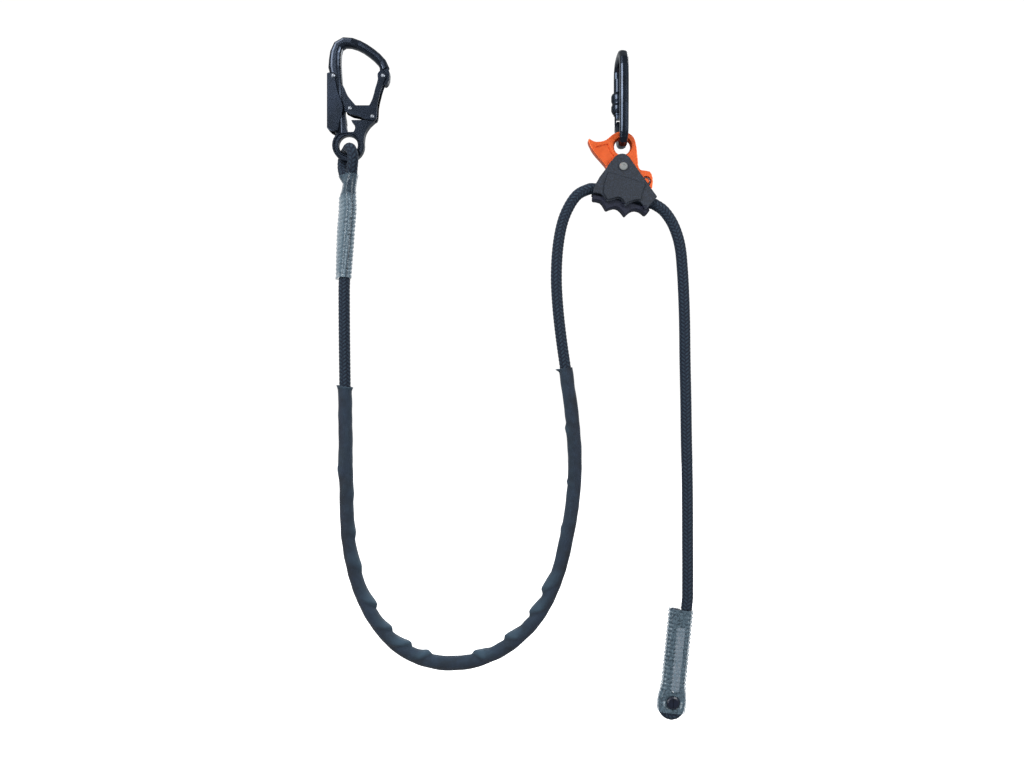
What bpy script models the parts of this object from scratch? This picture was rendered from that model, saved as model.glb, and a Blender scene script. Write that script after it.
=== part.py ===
"""Climbing lanyard: a rope with a cam adjuster, a snap hook at one end and a carabiner on the cam.

The lanyard hangs as in use. X runs to the right, Y away from the viewer and Z up. The origin is the
point inside the carabiner's upper bow that the lanyard hangs from. Outlines are drawn in millimetres
and turned to metres when their meshes are made.
"""
import math

import bmesh
import bpy
from mathutils import Matrix, Vector

MM = 0.001

# Gap left between neighbouring pieces, in millimetres.
GAP = 0.3

# Rope: its own size, and the size it is pressed to under a sewn eye's clear sleeve.
ROPE_RADIUS = 6.0
SEWN_RADIUS = 5.7
STRAND_OFFSET = 5.9
CORD_STEP = 24.0

# Carabiner, drawn in Y and Z.
BAR_RADIUS = 4.75
LOWER_BOW_RADIUS = 14.5
LOWER_BOW_Z = -79.05
GATE_Y = 30.5
GATE_HINGE_Z = -62.5
GATE_TOP_Z = -10.6
GATE_RADIUS = 4.0
TONGUE_HALF = 2.0

# Snap hook, drawn in X and Z from the centre of its ring eye.
RING_CENTRE = (-300.6, 0.0, -95.6)
RING_INNER = 10.6
RING_OUTER = 17.6
RING_HALF = 3.8
WEB_HALF = 4.0
CHEEK_INNER = 4.3
CHEEK_OUTER = 5.8
LEVER_INNER = 6.3
LEVER_OUTER = 7.6
SNAP_HINGE = (27.1, 30.7)
SNAP_NOSE_PIN = (38.6, 75.1)
SNAP_TAIL_PIN = (2.5, 39.6)
LEVER_PIVOT = (-15.2, 74.5)
PIN_RADIUS = 1.5

# Adjuster, drawn in X and Z from the cam bolt.
BOLT_PLACE = (0.0, 0.0, -120.7)
PLATE_INNER = 6.6
PLATE_OUTER = 9.6
CAM_HALF = 5.0
CAM_HOLE = (0.0, 23.5)
CAM_HOLE_RADIUS = 8.7
BOLT_RADIUS = 3.7
BUSH_RADIUS = 5.2
PANEL_OUTER = 11.5

# Tail eye, drawn in X and Z from the plug in the eye, and leaning to the right.
TAIL_EYE = (54.7, 0.0, -705.3)
TAIL_LEAN = math.radians(5.8)

# A point of an outline with this mark is a sharp corner. The others are rounded.
CORNER = "corner"


def new_collection(name):
    collection = bpy.data.collections.new(name)
    bpy.context.scene.collection.children.link(collection)
    return collection


def clear_scene():
    for obj in list(bpy.data.objects):
        bpy.data.objects.remove(obj, do_unlink=True)


def linear(channel):
    if channel <= 0.04045:
        return channel / 12.92
    return ((channel + 0.055) / 1.055) ** 2.4


def finish(name, colour, roughness, metallic=0.0, alpha=1.0):
    """A material from a hex colour, such as 1c2230."""
    material = bpy.data.materials.new(name)
    material.use_nodes = True
    shader = material.node_tree.nodes["Principled BSDF"]
    channels = [linear(int(colour[index:index + 2], 16) / 255) for index in (0, 2, 4)]
    shader.inputs["Base Color"].default_value = (*channels, 1.0)
    shader.inputs["Roughness"].default_value = roughness
    shader.inputs["Metallic"].default_value = metallic
    shader.inputs["Alpha"].default_value = alpha
    return material


def frame(name, place, lean=0.0):
    """An empty that a group of pieces is drawn from, leaning to the right by an angle."""
    empty = bpy.data.objects.new(name, None)
    empty.location = Vector(place) * MM
    empty.rotation_euler = (0.0, lean, 0.0)
    PARTS.objects.link(empty)
    return empty


def weld(mesh):
    """Join the loose caps and merge the flat triangles of a filled outline."""
    work = bmesh.new()
    work.from_mesh(mesh)
    bmesh.ops.remove_doubles(work, verts=work.verts, dist=0.001 * MM)
    bmesh.ops.dissolve_limit(
        work, angle_limit=math.radians(0.5), verts=work.verts, edges=work.edges
    )
    work.to_mesh(mesh)
    work.free()


def baked(obj):
    """The evaluated shape as a mesh of its own. The object that it came from is removed."""
    bpy.context.view_layer.update()
    graph = bpy.context.evaluated_depsgraph_get()
    mesh = bpy.data.meshes.new_from_object(obj.evaluated_get(graph))
    weld(mesh)
    bpy.data.objects.remove(obj)
    return mesh


def add_part(name, mesh, material, parent, origin=(0.0, 0.0, 0.0)):
    """A piece drawn in its parent's frame, with its own origin moved to its joint."""
    start = Vector(origin) * MM
    mesh.name = name
    mesh.transform(Matrix.Translation(-start))
    mesh.materials.clear()
    mesh.materials.append(material)
    mesh.shade_smooth()
    mesh.set_sharp_from_angle(angle=math.radians(38))
    obj = bpy.data.objects.new(name, mesh)
    obj.location = start
    obj.parent = parent
    PARTS.objects.link(obj)
    return obj


def add_cutter(name, mesh, parent):
    cutter = bpy.data.objects.new(name, mesh)
    cutter.parent = parent
    cutter.hide_render = True
    cutter.display_type = "WIRE"
    CUTTERS.objects.link(cutter)
    return cutter


def combine(obj, tool, operation="DIFFERENCE"):
    modifier = obj.modifiers.new(tool.name, "BOOLEAN")
    modifier.operation = operation
    modifier.solver = "EXACT"
    modifier.object = tool


def round_edges(obj, width, segments=2):
    modifier = obj.modifiers.new("rounded edges", "BEVEL")
    modifier.width = width * MM
    modifier.segments = segments
    modifier.limit_method = "ANGLE"
    modifier.angle_limit = math.radians(50)


def outline_mesh(outline, near, far, smoothness=2):
    """A flat piece: a closed outline in X and Z, with its thickness from near to far along Y."""
    curve = bpy.data.curves.new("outline", "CURVE")
    curve.dimensions = "2D"
    curve.fill_mode = "BOTH"
    curve.resolution_u = smoothness
    curve.extrude = (far - near) / 2 * MM
    spline = curve.splines.new("BEZIER")
    spline.bezier_points.add(len(outline) - 1)
    spline.use_cyclic_u = True
    for point, place in zip(spline.bezier_points, outline):
        point.co = (place[0] * MM, place[1] * MM, 0.0)
    for point, place in zip(spline.bezier_points, outline):
        handle = "VECTOR" if CORNER in place else "AUTO"
        point.handle_left_type = handle
        point.handle_right_type = handle
    drawing = bpy.data.objects.new("outline", curve)
    CUTTERS.objects.link(drawing)
    mesh = baked(drawing)
    mesh.transform(Matrix.Rotation(math.radians(90), 4, "X"))
    mesh.transform(Matrix.Translation((0.0, (near + far) / 2 * MM, 0.0)))
    return mesh


def box_mesh(low, high):
    """A box between two corners."""
    work = bmesh.new()
    bmesh.ops.create_cube(work, size=1.0)
    size = Vector(high) - Vector(low)
    middle = (Vector(high) + Vector(low)) / 2
    bmesh.ops.scale(work, vec=size * MM, verts=work.verts)
    bmesh.ops.translate(work, vec=middle * MM, verts=work.verts)
    mesh = bpy.data.meshes.new("box")
    work.to_mesh(mesh)
    work.free()
    return mesh


def turned_mesh(profile, axis, place=(0.0, 0.0, 0.0), steps=20, ring=False):
    """A turned piece: (radius, distance along the axis) pairs, down the outer side."""
    count = len(profile)
    edges = [(index, index + 1) for index in range(count - 1)]
    if ring:
        edges.append((count - 1, 0))
    mesh = bpy.data.meshes.new("profile")
    mesh.from_pydata([(radius * MM, 0.0, along * MM) for radius, along in profile], edges, [])
    obj = bpy.data.objects.new("profile", mesh)
    CUTTERS.objects.link(obj)
    screw = obj.modifiers.new("turned", "SCREW")
    screw.steps = steps
    screw.render_steps = steps
    screw.use_merge_vertices = True
    screw.merge_threshold = 0.00001
    shape = baked(obj)
    turns = {"X": Matrix.Rotation(math.radians(90), 4, "Y"),
             "Y": Matrix.Rotation(math.radians(-90), 4, "X"),
             "Z": Matrix.Identity(4)}
    shape.transform(turns[axis])
    shape.transform(Matrix.Translation(Vector(place) * MM))
    return shape


def rod_mesh(radius, near, far, axis, place, steps=16):
    """A plain round rod, or the cutter for a round hole."""
    return turned_mesh([(0.0, far), (radius, far), (radius, near), (0.0, near)], axis, place, steps)


def rivet_mesh(radius, half_length, head, place):
    """A rivet along Y with a low domed head at each end."""
    tip = half_length + 0.8
    profile = [(0.0, tip), (head * 0.6, tip - 0.1), (head, half_length + 0.2),
               (head, half_length), (radius, half_length), (radius, -half_length),
               (head, -half_length), (head, -half_length - 0.2), (head * 0.6, 0.1 - tip), (0.0, -tip)]
    return turned_mesh(profile, "Y", (place[0], 0.0, place[1]), steps=14)


def even_points(route, step):
    """Even steps along a smooth curve through the route. Further values of a point follow along."""
    route = [tuple(map(float, point)) for point in route]
    dense = []
    fine = 16
    for index in range(len(route) - 1):
        before = route[max(index - 1, 0)]
        start = route[index]
        end = route[index + 1]
        after = route[min(index + 2, len(route) - 1)]
        for part in range(fine):
            t = part / fine
            dense.append(tuple(
                0.5 * (2 * b + (c - a) * t + (2 * a - 5 * b + 4 * c - d) * t ** 2
                       + (3 * b - a - 3 * c + d) * t ** 3)
                for a, b, c, d in zip(before, start, end, after)
            ))
    dense.append(route[-1])
    lengths = [0.0]
    for one, other in zip(dense, dense[1:]):
        lengths.append(lengths[-1] + math.dist(one[:3], other[:3]))
    count = max(round(lengths[-1] / step), 1)
    points = []
    place = 0
    for number in range(count + 1):
        target = lengths[-1] * number / count
        while place < len(dense) - 2 and lengths[place + 1] < target:
            place += 1
        span = max(lengths[place + 1] - lengths[place], 1e-9)
        share = min(max((target - lengths[place]) / span, 0.0), 1.0)
        points.append(tuple(a + (b - a) * share for a, b in zip(dense[place], dense[place + 1])))
    return points


def tube_mesh(points, radius, sides=10):
    """A round tube with filled ends along straight steps between the points."""
    curve = bpy.data.curves.new("tube", "CURVE")
    curve.dimensions = "3D"
    curve.bevel_depth = radius * MM
    curve.bevel_resolution = (sides - 4) // 2
    curve.use_fill_caps = True
    spline = curve.splines.new("POLY")
    spline.points.add(len(points) - 1)
    for place, point in zip(spline.points, points):
        place.co = (point[0] * MM, point[1] * MM, point[2] * MM, 1.0)
    drawing = bpy.data.objects.new("tube", curve)
    CUTTERS.objects.link(drawing)
    return baked(drawing)


def loft_mesh(rings, open_ends=False):
    """A skin over rings of points, with flat ends or left open."""
    work = bmesh.new()
    rows = [[work.verts.new(Vector(point) * MM) for point in ring] for ring in rings]
    for row, following in zip(rows, rows[1:]):
        for index, corner in enumerate(row):
            after = (index + 1) % len(row)
            work.faces.new((corner, row[after], following[after], following[index]))
    middle = sum((corner.co for corner in rows[0]), Vector()) / len(rows[0])
    if not open_ends:
        work.faces.new(rows[0])
        work.faces.new(rows[-1])
        bmesh.ops.recalc_face_normals(work, faces=work.faces)
    else:
        work.faces.ensure_lookup_table()
        first = work.faces[0]
        first.normal_update()
        if first.normal.dot(first.calc_center_median() - middle) < 0:
            bmesh.ops.reverse_faces(work, faces=work.faces)
    mesh = bpy.data.meshes.new("loft")
    work.to_mesh(mesh)
    work.free()
    return mesh


def directions(points):
    """The direction of travel at each point of a path."""
    found = []
    for index in range(len(points)):
        before = Vector(points[max(index - 1, 0)][:3])
        after = Vector(points[min(index + 1, len(points) - 1)][:3])
        found.append((after - before).normalized())
    return found


def bar_rings(path, across, section):
    """Rings of a forged bar. The path lies in a plane, and across is the direction square to it."""
    across = Vector(across)
    rings = []
    for point, travel in zip(path, directions(path)):
        outward = across.cross(travel)
        middle = Vector(point[:3])
        rings.append([middle + outward * p + across * q for p, q in section(*point[3:])])
    return rings


def bar_section(depth, width, outer_groove, side_groove):
    """A rounded bar section (outward, across), with a groove on its outer face or on both sides."""
    half = [(depth - outer_groove, 0.22 * width), (depth - 0.04 * depth, 0.46 * width),
            (0.78 * depth, 0.78 * width), (0.52 * depth, 0.97 * width),
            (0.26 * depth, width - side_groove), (-0.26 * depth, width - side_groove),
            (-0.52 * depth, 0.97 * width), (-0.78 * depth, 0.78 * width),
            (-0.96 * depth, 0.46 * width), (-depth, 0.16 * width)]
    return half + [(p, -q) for p, q in reversed(half)]


def spring_mesh(radius, wire, turns, pitch, axis, place, points_per_turn=9):
    """A coil of round wire about an axis, made as one unbroken tube."""
    count = round(turns * points_per_turn)
    points = []
    for index in range(count + 1):
        angle = 2 * math.pi * index / points_per_turn
        along = pitch * (index / points_per_turn - turns / 2)
        points.append((radius * math.cos(angle), radius * math.sin(angle), along))
    print("spring", axis, "least gap to itself", round(pitch - 2 * wire, 3), "mm")
    mesh = tube_mesh(points, wire, sides=6)
    turns_to = {"X": Matrix.Rotation(math.radians(90), 4, "Y"),
                "Y": Matrix.Rotation(math.radians(-90), 4, "X"),
                "Z": Matrix.Identity(4)}
    mesh.transform(turns_to[axis])
    mesh.transform(Matrix.Translation(Vector(place) * MM))
    return mesh


# Carabiner

def make_carabiner(origin):
    """An I-section body, open between the nose and the gate's hinge. It is drawn in Y and Z."""
    bow = [(30.5, -10.0), (30.3, -6.0), (28.6, -0.8), (24.0, 3.4), (16.0, 5.1), (6.0, 5.2),
           (-3.0, 3.9), (-10.3, -1.2), (-14.2, -10.0), (-15.6, -26.0), (-15.6, -50.0),
           (-15.0, -66.0), (-LOWER_BOW_RADIUS, LOWER_BOW_Z)]
    path = [(0.0, y, z) for _, y, z in even_points([(0.0, y, z) for y, z in bow], 8.0)]
    for step in range(1, 9):
        angle = math.radians(-90 + 18.75 * step)
        path.append((0.0, LOWER_BOW_RADIUS * math.sin(angle),
                     LOWER_BOW_Z - LOWER_BOW_RADIUS * math.cos(angle)))
    path += [(0.0, 17.4, -78.0), (0.0, 22.0, -72.6), (0.0, 25.6, -68.4)]
    tongue = [(0.0, 26.0, -67.9), (0.0, 29.0, -64.3), (0.0, 32.2, -60.5)]

    def grooved(z):
        return 1.7 if -74.0 < z < -6.0 else 0.0

    full = [(*point, BAR_RADIUS, BAR_RADIUS, grooved(point[2]) if point[1] < 0 else 0.0, 0.0)
            for point in path]
    slim = [(*point, GATE_RADIUS - 0.4, TONGUE_HALF, 0.0, 0.0) for point in tongue]
    rings = bar_rings(full + slim, (1.0, 0.0, 0.0), bar_section)
    body = add_part("carabiner_body", loft_mesh(rings), BLACK_METAL, origin)
    hinge = (0.0, GATE_Y, GATE_HINGE_Z)
    combine(body, add_cutter("carabiner_rivet_bore", rod_mesh(1.8, -8, 8, "X", hinge), origin))

    foot = GATE_HINGE_Z - 5.0
    profile = [(0.0, GATE_TOP_Z), (GATE_RADIUS - 0.8, GATE_TOP_Z), (GATE_RADIUS, GATE_TOP_Z - 0.8),
               (GATE_RADIUS, -49.2), (5.2, -49.6), (5.2, -51.2), (GATE_RADIUS, -51.6),
               (GATE_RADIUS, foot + 1.2), (GATE_RADIUS - 1.0, foot), (0.0, foot)]
    gate = add_part("carabiner_gate", turned_mesh(profile, "Z", (0, GATE_Y, 0), 20),
                    BLACK_METAL, origin, hinge)
    slot = box_mesh((-TONGUE_HALF - GAP, GATE_Y - 9, foot - 4), (TONGUE_HALF + GAP, GATE_Y + 9, -55.6))
    combine(gate, add_cutter("carabiner_gate_slot", slot, origin))
    combine(gate, add_cutter("carabiner_gate_bore", rod_mesh(1.8, -8, 8, "X", hinge), origin))
    rivet = rod_mesh(1.5, -3.7, 3.7, "X", hinge, 14)
    add_part("carabiner_gate_rivet", rivet, BARE_STEEL, origin, hinge)

    neck = [(4.9, -10.9), (4.9, -25.6), (6.9, -27.4), (7.8, -29.6), (7.8, -34.6), (6.7, -37.6),
            (6.7, -38.6), (7.8, -41.6), (7.8, -45.6), (6.6, -48.6), (5.7, -48.9), (5.7, -27.6),
            (4.35, -26.6), (4.35, -10.9)]
    add_part("carabiner_lock_sleeve", turned_mesh(neck, "Z", (0, GATE_Y, 0), 24, ring=True),
             BLACK_METAL, origin, (0.0, GATE_Y, 0.0))
    guide = [(5.3, -28.0), (5.3, -30.4), (4.35, -30.4), (4.35, -28.0)]
    add_part("carabiner_sleeve_guide", turned_mesh(guide, "Z", (0, GATE_Y, 0), 20, ring=True),
             BARE_STEEL, origin, (0.0, GATE_Y, 0.0))
    coil = spring_mesh(4.95, 0.32, 4, 2.8, "Z", (0, GATE_Y, -37.4), 8)
    add_part("carabiner_sleeve_spring", coil, SPRING_STEEL, origin, (0.0, GATE_Y, 0.0))


# Snap hook

def make_snap_hook(origin):
    """A forged body: a swept bow and spine, a thinner web with nose and hinge block, and a ring eye."""
    bow = [(40.4, 83.6, 4.8, 5.2), (37.6, 90.0, 5.0, 6.0), (30.8, 97.4, 5.0, 6.0),
           (18.2, 106.8, 4.9, 6.0), (5.4, 112.4, 5.2, 6.0), (-5.4, 113.0, 5.6, 6.0),
           (-12.4, 107.0, 6.1, 6.0), (-14.4, 96.0, 6.6, 6.0), (-14.9, 87.0, 7.2, 6.0),
           (-14.3, 80.4, 6.6, 6.0), (-13.4, 76.0, 6.2, 6.0), (-12.9, 64.0, 6.6, 6.0),
           (-12.0, 50.0, 6.4, 6.0), (-11.2, 36.0, 6.2, 6.0), (-10.4, 23.0, 5.4, 5.4),
           (-9.8, 13.2, 4.8, 4.4)]
    route = even_points([(u, 0.0, v, depth, half) for u, v, depth, half in bow], 8.0)
    grooved = []
    for u, y, v, depth, half in route:
        side = 1.2 if u > 8 and v < 112 and u < 38 else 0.0
        grooved.append((u, y, v, depth, half, 0.0, side))
    rings = bar_rings(grooved, (0.0, 1.0, 0.0), bar_section)
    body = add_part("snap_hook_body", loft_mesh(rings), BLACK_METAL, origin)

    nose = [(37.4, 89.0, CORNER), (42.6, 86.0, CORNER), (45.0, 81.0), (45.4, 75.0), (43.9, 68.5),
            (40.6, 65.3), (37.6, 67.6), (37.0, 72.6, CORNER), (39.0, 72.8), (41.1, 75.1),
            (39.2, 77.4), (35.4, 78.8, CORNER), (34.8, 82.0), (34.9, 87.0, CORNER)]
    nose_web = outline_mesh(nose, -WEB_HALF, WEB_HALF)
    combine(body, add_cutter("snap_hook_nose_web", nose_web, origin), "UNION")
    block = [(8.2, 43.6, CORNER), (3.0, 49.6), (-1.6, 56.0), (-5.4, 65.0, CORNER),
             (-12.0, 65.0, CORNER), (-12.0, 20.0, CORNER), (-10.4, 12.2, CORNER),
             (0.0, 13.0, CORNER), (8.0, 11.2, CORNER), (13.8, 4.0, CORNER), (17.2, 1.0, CORNER),
             (17.6, 8.0), (19.0, 14.0), (24.0, 21.6), (29.4, 26.6), (31.7, 30.7), (27.1, 35.2),
             (22.6, 31.4), (21.2, 27.4, CORNER), (3.6, 27.2, CORNER), (5.4, 22.6), (7.3, 18.0),
             (5.4, 14.9, CORNER), (-0.1, 14.7, CORNER), (-1.6, 20.0), (-2.6, 29.0), (-3.8, 36.0),
             (-2.6, 41.2), (3.0, 42.6)]
    web = outline_mesh(block, -WEB_HALF, WEB_HALF)
    combine(body, add_cutter("snap_hook_web", web, origin), "UNION")
    half = [(RING_OUTER, -3.2), (RING_OUTER - 0.6, -RING_HALF), (15.6, -RING_HALF), (15.0, -2.6),
            (12.9, -2.6), (12.3, -RING_HALF), (11.4, -RING_HALF), (RING_INNER, -2.9)]
    rim = half + [(radius, -along) for radius, along in reversed(half)]
    ring = turned_mesh(rim, "Y", steps=28, ring=True)
    combine(body, add_cutter("snap_hook_ring", ring, origin), "UNION")
    teardrop = [(4.6, 25.0), (7.9, 18.4), (6.0, 14.3, CORNER), (-0.6, 14.1, CORNER), (-2.2, 20.0),
                (-1.6, 25.0)]
    combine(body, add_cutter("snap_hook_teardrop", outline_mesh(teardrop, -9, 9), origin))
    for name, place in (("hinge", SNAP_HINGE), ("lever", LEVER_PIVOT)):
        bore = rod_mesh(PIN_RADIUS + GAP, -9, 9, "Y", (place[0], 0.0, place[1]))
        combine(body, add_cutter("snap_hook_" + name + "_bore", bore, origin))
    lever_pocket = box_mesh((-26.0, -2.1, 70.4), (-10.8, 2.1, 78.6))
    combine(body, add_cutter("snap_hook_lever_pocket", lever_pocket, origin))
    hinge_pocket = box_mesh((22.7, -2.1, 26.3), (36.0, 2.1, 38.0))
    combine(body, add_cutter("snap_hook_hinge_pocket", hinge_pocket, origin))

    make_snap_gate(origin)
    make_lock_lever(origin)


def make_snap_gate(origin):
    """The gate is one bent channel: its arm reaches the nose and its tail lies in the body's slot."""
    arm = [(33.0, 72.0), (32.6, 77.2), (36.2, 80.9), (40.8, 79.4), (42.4, 75.0), (40.6, 70.6),
           (38.0, 64.6), (34.9, 54.0), (32.4, 42.0), (32.0, 33.0), (30.6, 27.6), (26.6, 26.2),
           (12.0, 31.0), (-2.2, 36.0), (-3.2, 40.0), (-0.6, 43.0), (8.0, 42.9, CORNER),
           (23.6, 42.9, CORNER), (27.0, 50.0), (30.2, 62.0)]
    gate = add_part("snap_hook_gate", outline_mesh(arm, -CHEEK_OUTER, CHEEK_OUTER),
                    BLACK_METAL, origin, (SNAP_HINGE[0], 0.0, SNAP_HINGE[1]))
    round_edges(gate, 0.6)
    hollow = [(-20.0, 60.0, CORNER), (7.6, 60.0, CORNER), (7.6, 41.3, CORNER),
              (24.4, 41.3, CORNER), (28.7, 51.0), (31.9, 62.6, CORNER), (26.0, 67.4, CORNER),
              (26.0, 95.0, CORNER), (60.0, 95.0, CORNER), (60.0, 10.0, CORNER),
              (-20.0, 10.0, CORNER)]
    channel = outline_mesh(hollow, -CHEEK_INNER, CHEEK_INNER)
    combine(gate, add_cutter("snap_gate_channel", channel, origin))
    for name, place in (("hinge", SNAP_HINGE), ("nose", SNAP_NOSE_PIN), ("tail", SNAP_TAIL_PIN)):
        bore = rod_mesh(PIN_RADIUS + GAP, -9, 9, "Y", (place[0], 0.0, place[1]))
        combine(gate, add_cutter("snap_gate_" + name + "_bore", bore, origin))
        pin = rivet_mesh(PIN_RADIUS, CHEEK_OUTER + GAP, 2.1, place)
        add_part("snap_hook_gate_" + name + "_rivet", pin, BARE_STEEL, origin,
                 (place[0], 0.0, place[1]))
    coil = spring_mesh(2.75, 0.4, 2.4, 1.3, "Y", (SNAP_HINGE[0], 0.0, SNAP_HINGE[1]))
    add_part("snap_hook_gate_spring", coil, SPRING_STEEL, origin,
             (SNAP_HINGE[0], 0.0, SNAP_HINGE[1]))


def make_lock_lever(origin):
    """The lock lever is a folded channel that straddles the spine."""
    pivot = (LEVER_PIVOT[0], 0.0, LEVER_PIVOT[1])
    leaf = [(-22.3, 77.4, CORNER), (-17.0, 78.4), (-12.6, 76.6), (-12.6, 70.0), (-9.4, 56.0),
            (-4.6, 41.0), (-6.0, 32.0), (-8.6, 23.0), (-10.4, 14.4, CORNER), (-16.4, 13.6),
            (-22.3, 17.8, CORNER)]
    lever = add_part("snap_hook_lock_lever", outline_mesh(leaf, -LEVER_OUTER, LEVER_OUTER),
                     BLACK_METAL, origin, pivot)
    round_edges(lever, 0.8)
    channel = box_mesh((-20.8, -LEVER_INNER, 5.0), (5.0, LEVER_INNER, 90.0))
    combine(lever, add_cutter("lock_lever_channel", channel, origin))
    bore = rod_mesh(PIN_RADIUS + GAP, -12, 12, "Y", pivot)
    combine(lever, add_cutter("lock_lever_bore", bore, origin))
    pin = rivet_mesh(PIN_RADIUS, LEVER_OUTER + GAP, 2.1, LEVER_PIVOT)
    add_part("snap_hook_lever_rivet", pin, BARE_STEEL, origin, pivot)
    coil = spring_mesh(2.75, 0.4, 2.4, 1.3, "Y", pivot)
    add_part("snap_hook_lever_spring", coil, SPRING_STEEL, origin, pivot)


# Adjuster

# The lower edge of the side plates: three finger scallops between pointed tips.
PLATE_SCALLOPS = [(26.3, -45.6, CORNER), (23.7, -47.4, CORNER), (21.6, -42.6), (17.6, -38.2),
                  (11.0, -38.6), (1.7, -44.2, CORNER), (-0.6, -38.4), (-4.6, -35.4),
                  (-10.4, -36.8), (-17.7, -38.8, CORNER), (-20.6, -34.4), (-24.2, -30.2),
                  (-33.0, -28.8, CORNER)]


def make_adjuster(origin):
    plate = [(-31.6, -21.8), (-18.4, -1.8), (-8.4, 11.2), (-3.1, 13.8), (1.9, 13.5), (6.2, 10.6),
             (9.4, 6.0), (31.0, -24.6), (37.0, -32.9, CORNER)] + PLATE_SCALLOPS
    panel = [(-15.9, -6.4, CORNER), (24.6, -19.0, CORNER), (20.6, -28.6), (19.2, -36.6, CORNER),
             (11.0, -37.2), (1.8, -41.6, CORNER), (0.2, -37.6), (-4.6, -34.0), (-10.6, -35.2),
             (-17.2, -36.8, CORNER), (-19.4, -33.0), (-21.6, -29.6, CORNER), (-20.6, -20.0),
             (-17.2, -8.4, CORNER)]
    rivet_places = [(-17.4, -33.9), (1.7, -39.2), (23.4, -43.9)]
    for side, sign in (("front", -1), ("rear", 1)):
        near, far = sorted((sign * PLATE_INNER, sign * PLATE_OUTER))
        shell = add_part("adjuster_" + side + "_plate", outline_mesh(plate, near, far),
                         DARK_PLATE, origin)
        round_edges(shell, 0.6, 1)
        bore = rod_mesh(BOLT_RADIUS + GAP, near - 2, far + 2, "Y", (0, 0, 0), 20)
        combine(shell, add_cutter(side + "_plate_bore", bore, origin))
        for number, place in enumerate(rivet_places):
            hole = rod_mesh(PIN_RADIUS + GAP, near - 2, far + 2, "Y", (place[0], 0.0, place[1]), 12)
            combine(shell, add_cutter(side + "_plate_hole_" + str(number), hole, origin))
        near, far = sorted((sign * (PLATE_OUTER + GAP), sign * PANEL_OUTER))
        cover = add_part("adjuster_" + side + "_grip_panel", outline_mesh(panel, near, far),
                         DARK_PLATE, origin)
        round_edges(cover, 0.7, 1)

    grip = [(-32.8, -29.8, CORNER), (-20.0, -31.2), (-6.0, -34.6), (28.0, -43.9, CORNER),
            (29.4, -47.0), (24.6, -52.0, CORNER), (20.4, -48.2), (14.4, -46.0), (8.4, -47.8),
            (2.7, -53.2, CORNER), (-0.2, -49.2), (-4.6, -44.8), (-9.4, -43.6),
            (-17.9, -46.6, CORNER), (-20.4, -42.0), (-24.4, -37.0), (-32.8, -35.6, CORNER)]
    block = add_part("adjuster_grip_block",
                     outline_mesh(grip, -PLATE_INNER + GAP, PLATE_INNER - GAP), GRIP_RUBBER, origin)
    round_edges(block, 1.2, 1)
    for number, place in enumerate(rivet_places, start=1):
        spot = (place[0], 0.0, place[1])
        hole = rod_mesh(PIN_RADIUS + GAP, -9, 9, "Y", spot, 12)
        combine(block, add_cutter("grip_hole_" + str(number), hole, origin))
        pin = rod_mesh(PIN_RADIUS, -PLATE_OUTER, PLATE_OUTER, "Y", spot, 12)
        add_part("adjuster_grip_rivet_" + str(number), pin, BLACK_METAL, origin, spot)

    make_cam(origin)
    make_bolt(origin)


def make_cam(origin):
    """The cam: its nose presses the rope, its lever releases it, and the carabiner clips its hole."""
    outline = [(-36.9, 32.2, CORNER), (-31.1, 28.9), (-25.8, 28.5), (-20.7, 29.4), (-17.0, 31.2),
               (-11.8, 35.6), (-5.0, 39.2), (1.6, 39.6), (7.6, 37.3), (12.2, 33.2), (14.6, 26.6),
               (16.0, 16.6), (17.0, 6.6), (18.0, 0.0), (20.6, -2.6), (29.9, -4.2), (33.0, -11.6),
               (33.1, -18.0), (31.0, -24.4), (24.0, -26.2), (13.0, -24.6), (4.0, -22.2),
               (-5.6, -19.8), (-13.6, -12.8), (-17.4, -6.0), (-17.8, 0.6), (-20.7, 4.6),
               (-26.0, 10.7), (-31.9, 17.6), (-35.6, 24.3), (-37.6, 29.6)]
    cam = add_part("cam_lever", outline_mesh(outline, -CAM_HALF, CAM_HALF), ORANGE_ALLOY, origin)
    round_edges(cam, 0.9)
    mouth = CAM_HALF + 0.2
    flare = [(CAM_HOLE_RADIUS + 2.1, mouth), (CAM_HOLE_RADIUS + 0.95, 3.6),
             (CAM_HOLE_RADIUS + 0.35, 2.0)]
    bore = [(0.0, mouth)] + flare + [(CAM_HOLE_RADIUS + 0.1, 0.0)]
    bore += [(radius, -along) for radius, along in reversed(flare)] + [(0.0, -mouth)]
    hole = turned_mesh(bore, "Y", (CAM_HOLE[0], 0.0, CAM_HOLE[1]), 28)
    combine(cam, add_cutter("cam_attachment_hole", hole, origin))
    bush_bore = rod_mesh(BUSH_RADIUS + GAP, -9, 9, "Y", (0, 0, 0), 24)
    combine(cam, add_cutter("cam_bush_bore", bush_bore, origin))
    pocket = [(-30.6, 22.6, CORNER), (-16.6, 26.4, CORNER), (-13.6, 20.0), (-11.6, 15.8),
              (-9.2, 12.4, CORNER), (-14.6, 3.6, CORNER), (-16.4, 4.2, CORNER)]
    for side, near, far in (("front", -9.0, -CAM_HALF + 1.2), ("rear", CAM_HALF - 1.2, 9.0)):
        recess = outline_mesh(pocket, near, far)
        combine(cam, add_cutter("cam_lever_pocket_" + side, recess, origin))
    seat = [(5.7, -1.2), (5.7, -9.0), (2.9, -9.0), (2.9, -1.2)]
    spring_place = (25.6, 0.0, -14.9)
    groove = turned_mesh(seat, "Y", spring_place, 20, ring=True)
    combine(cam, add_cutter("cam_spring_seat", groove, origin))
    coil = spring_mesh(4.3, 0.6, 1.75, 1.65, "Y", (spring_place[0], -3.6, spring_place[2]), 12)
    add_part("cam_return_spring", coil, SPRING_STEEL, origin)


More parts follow.
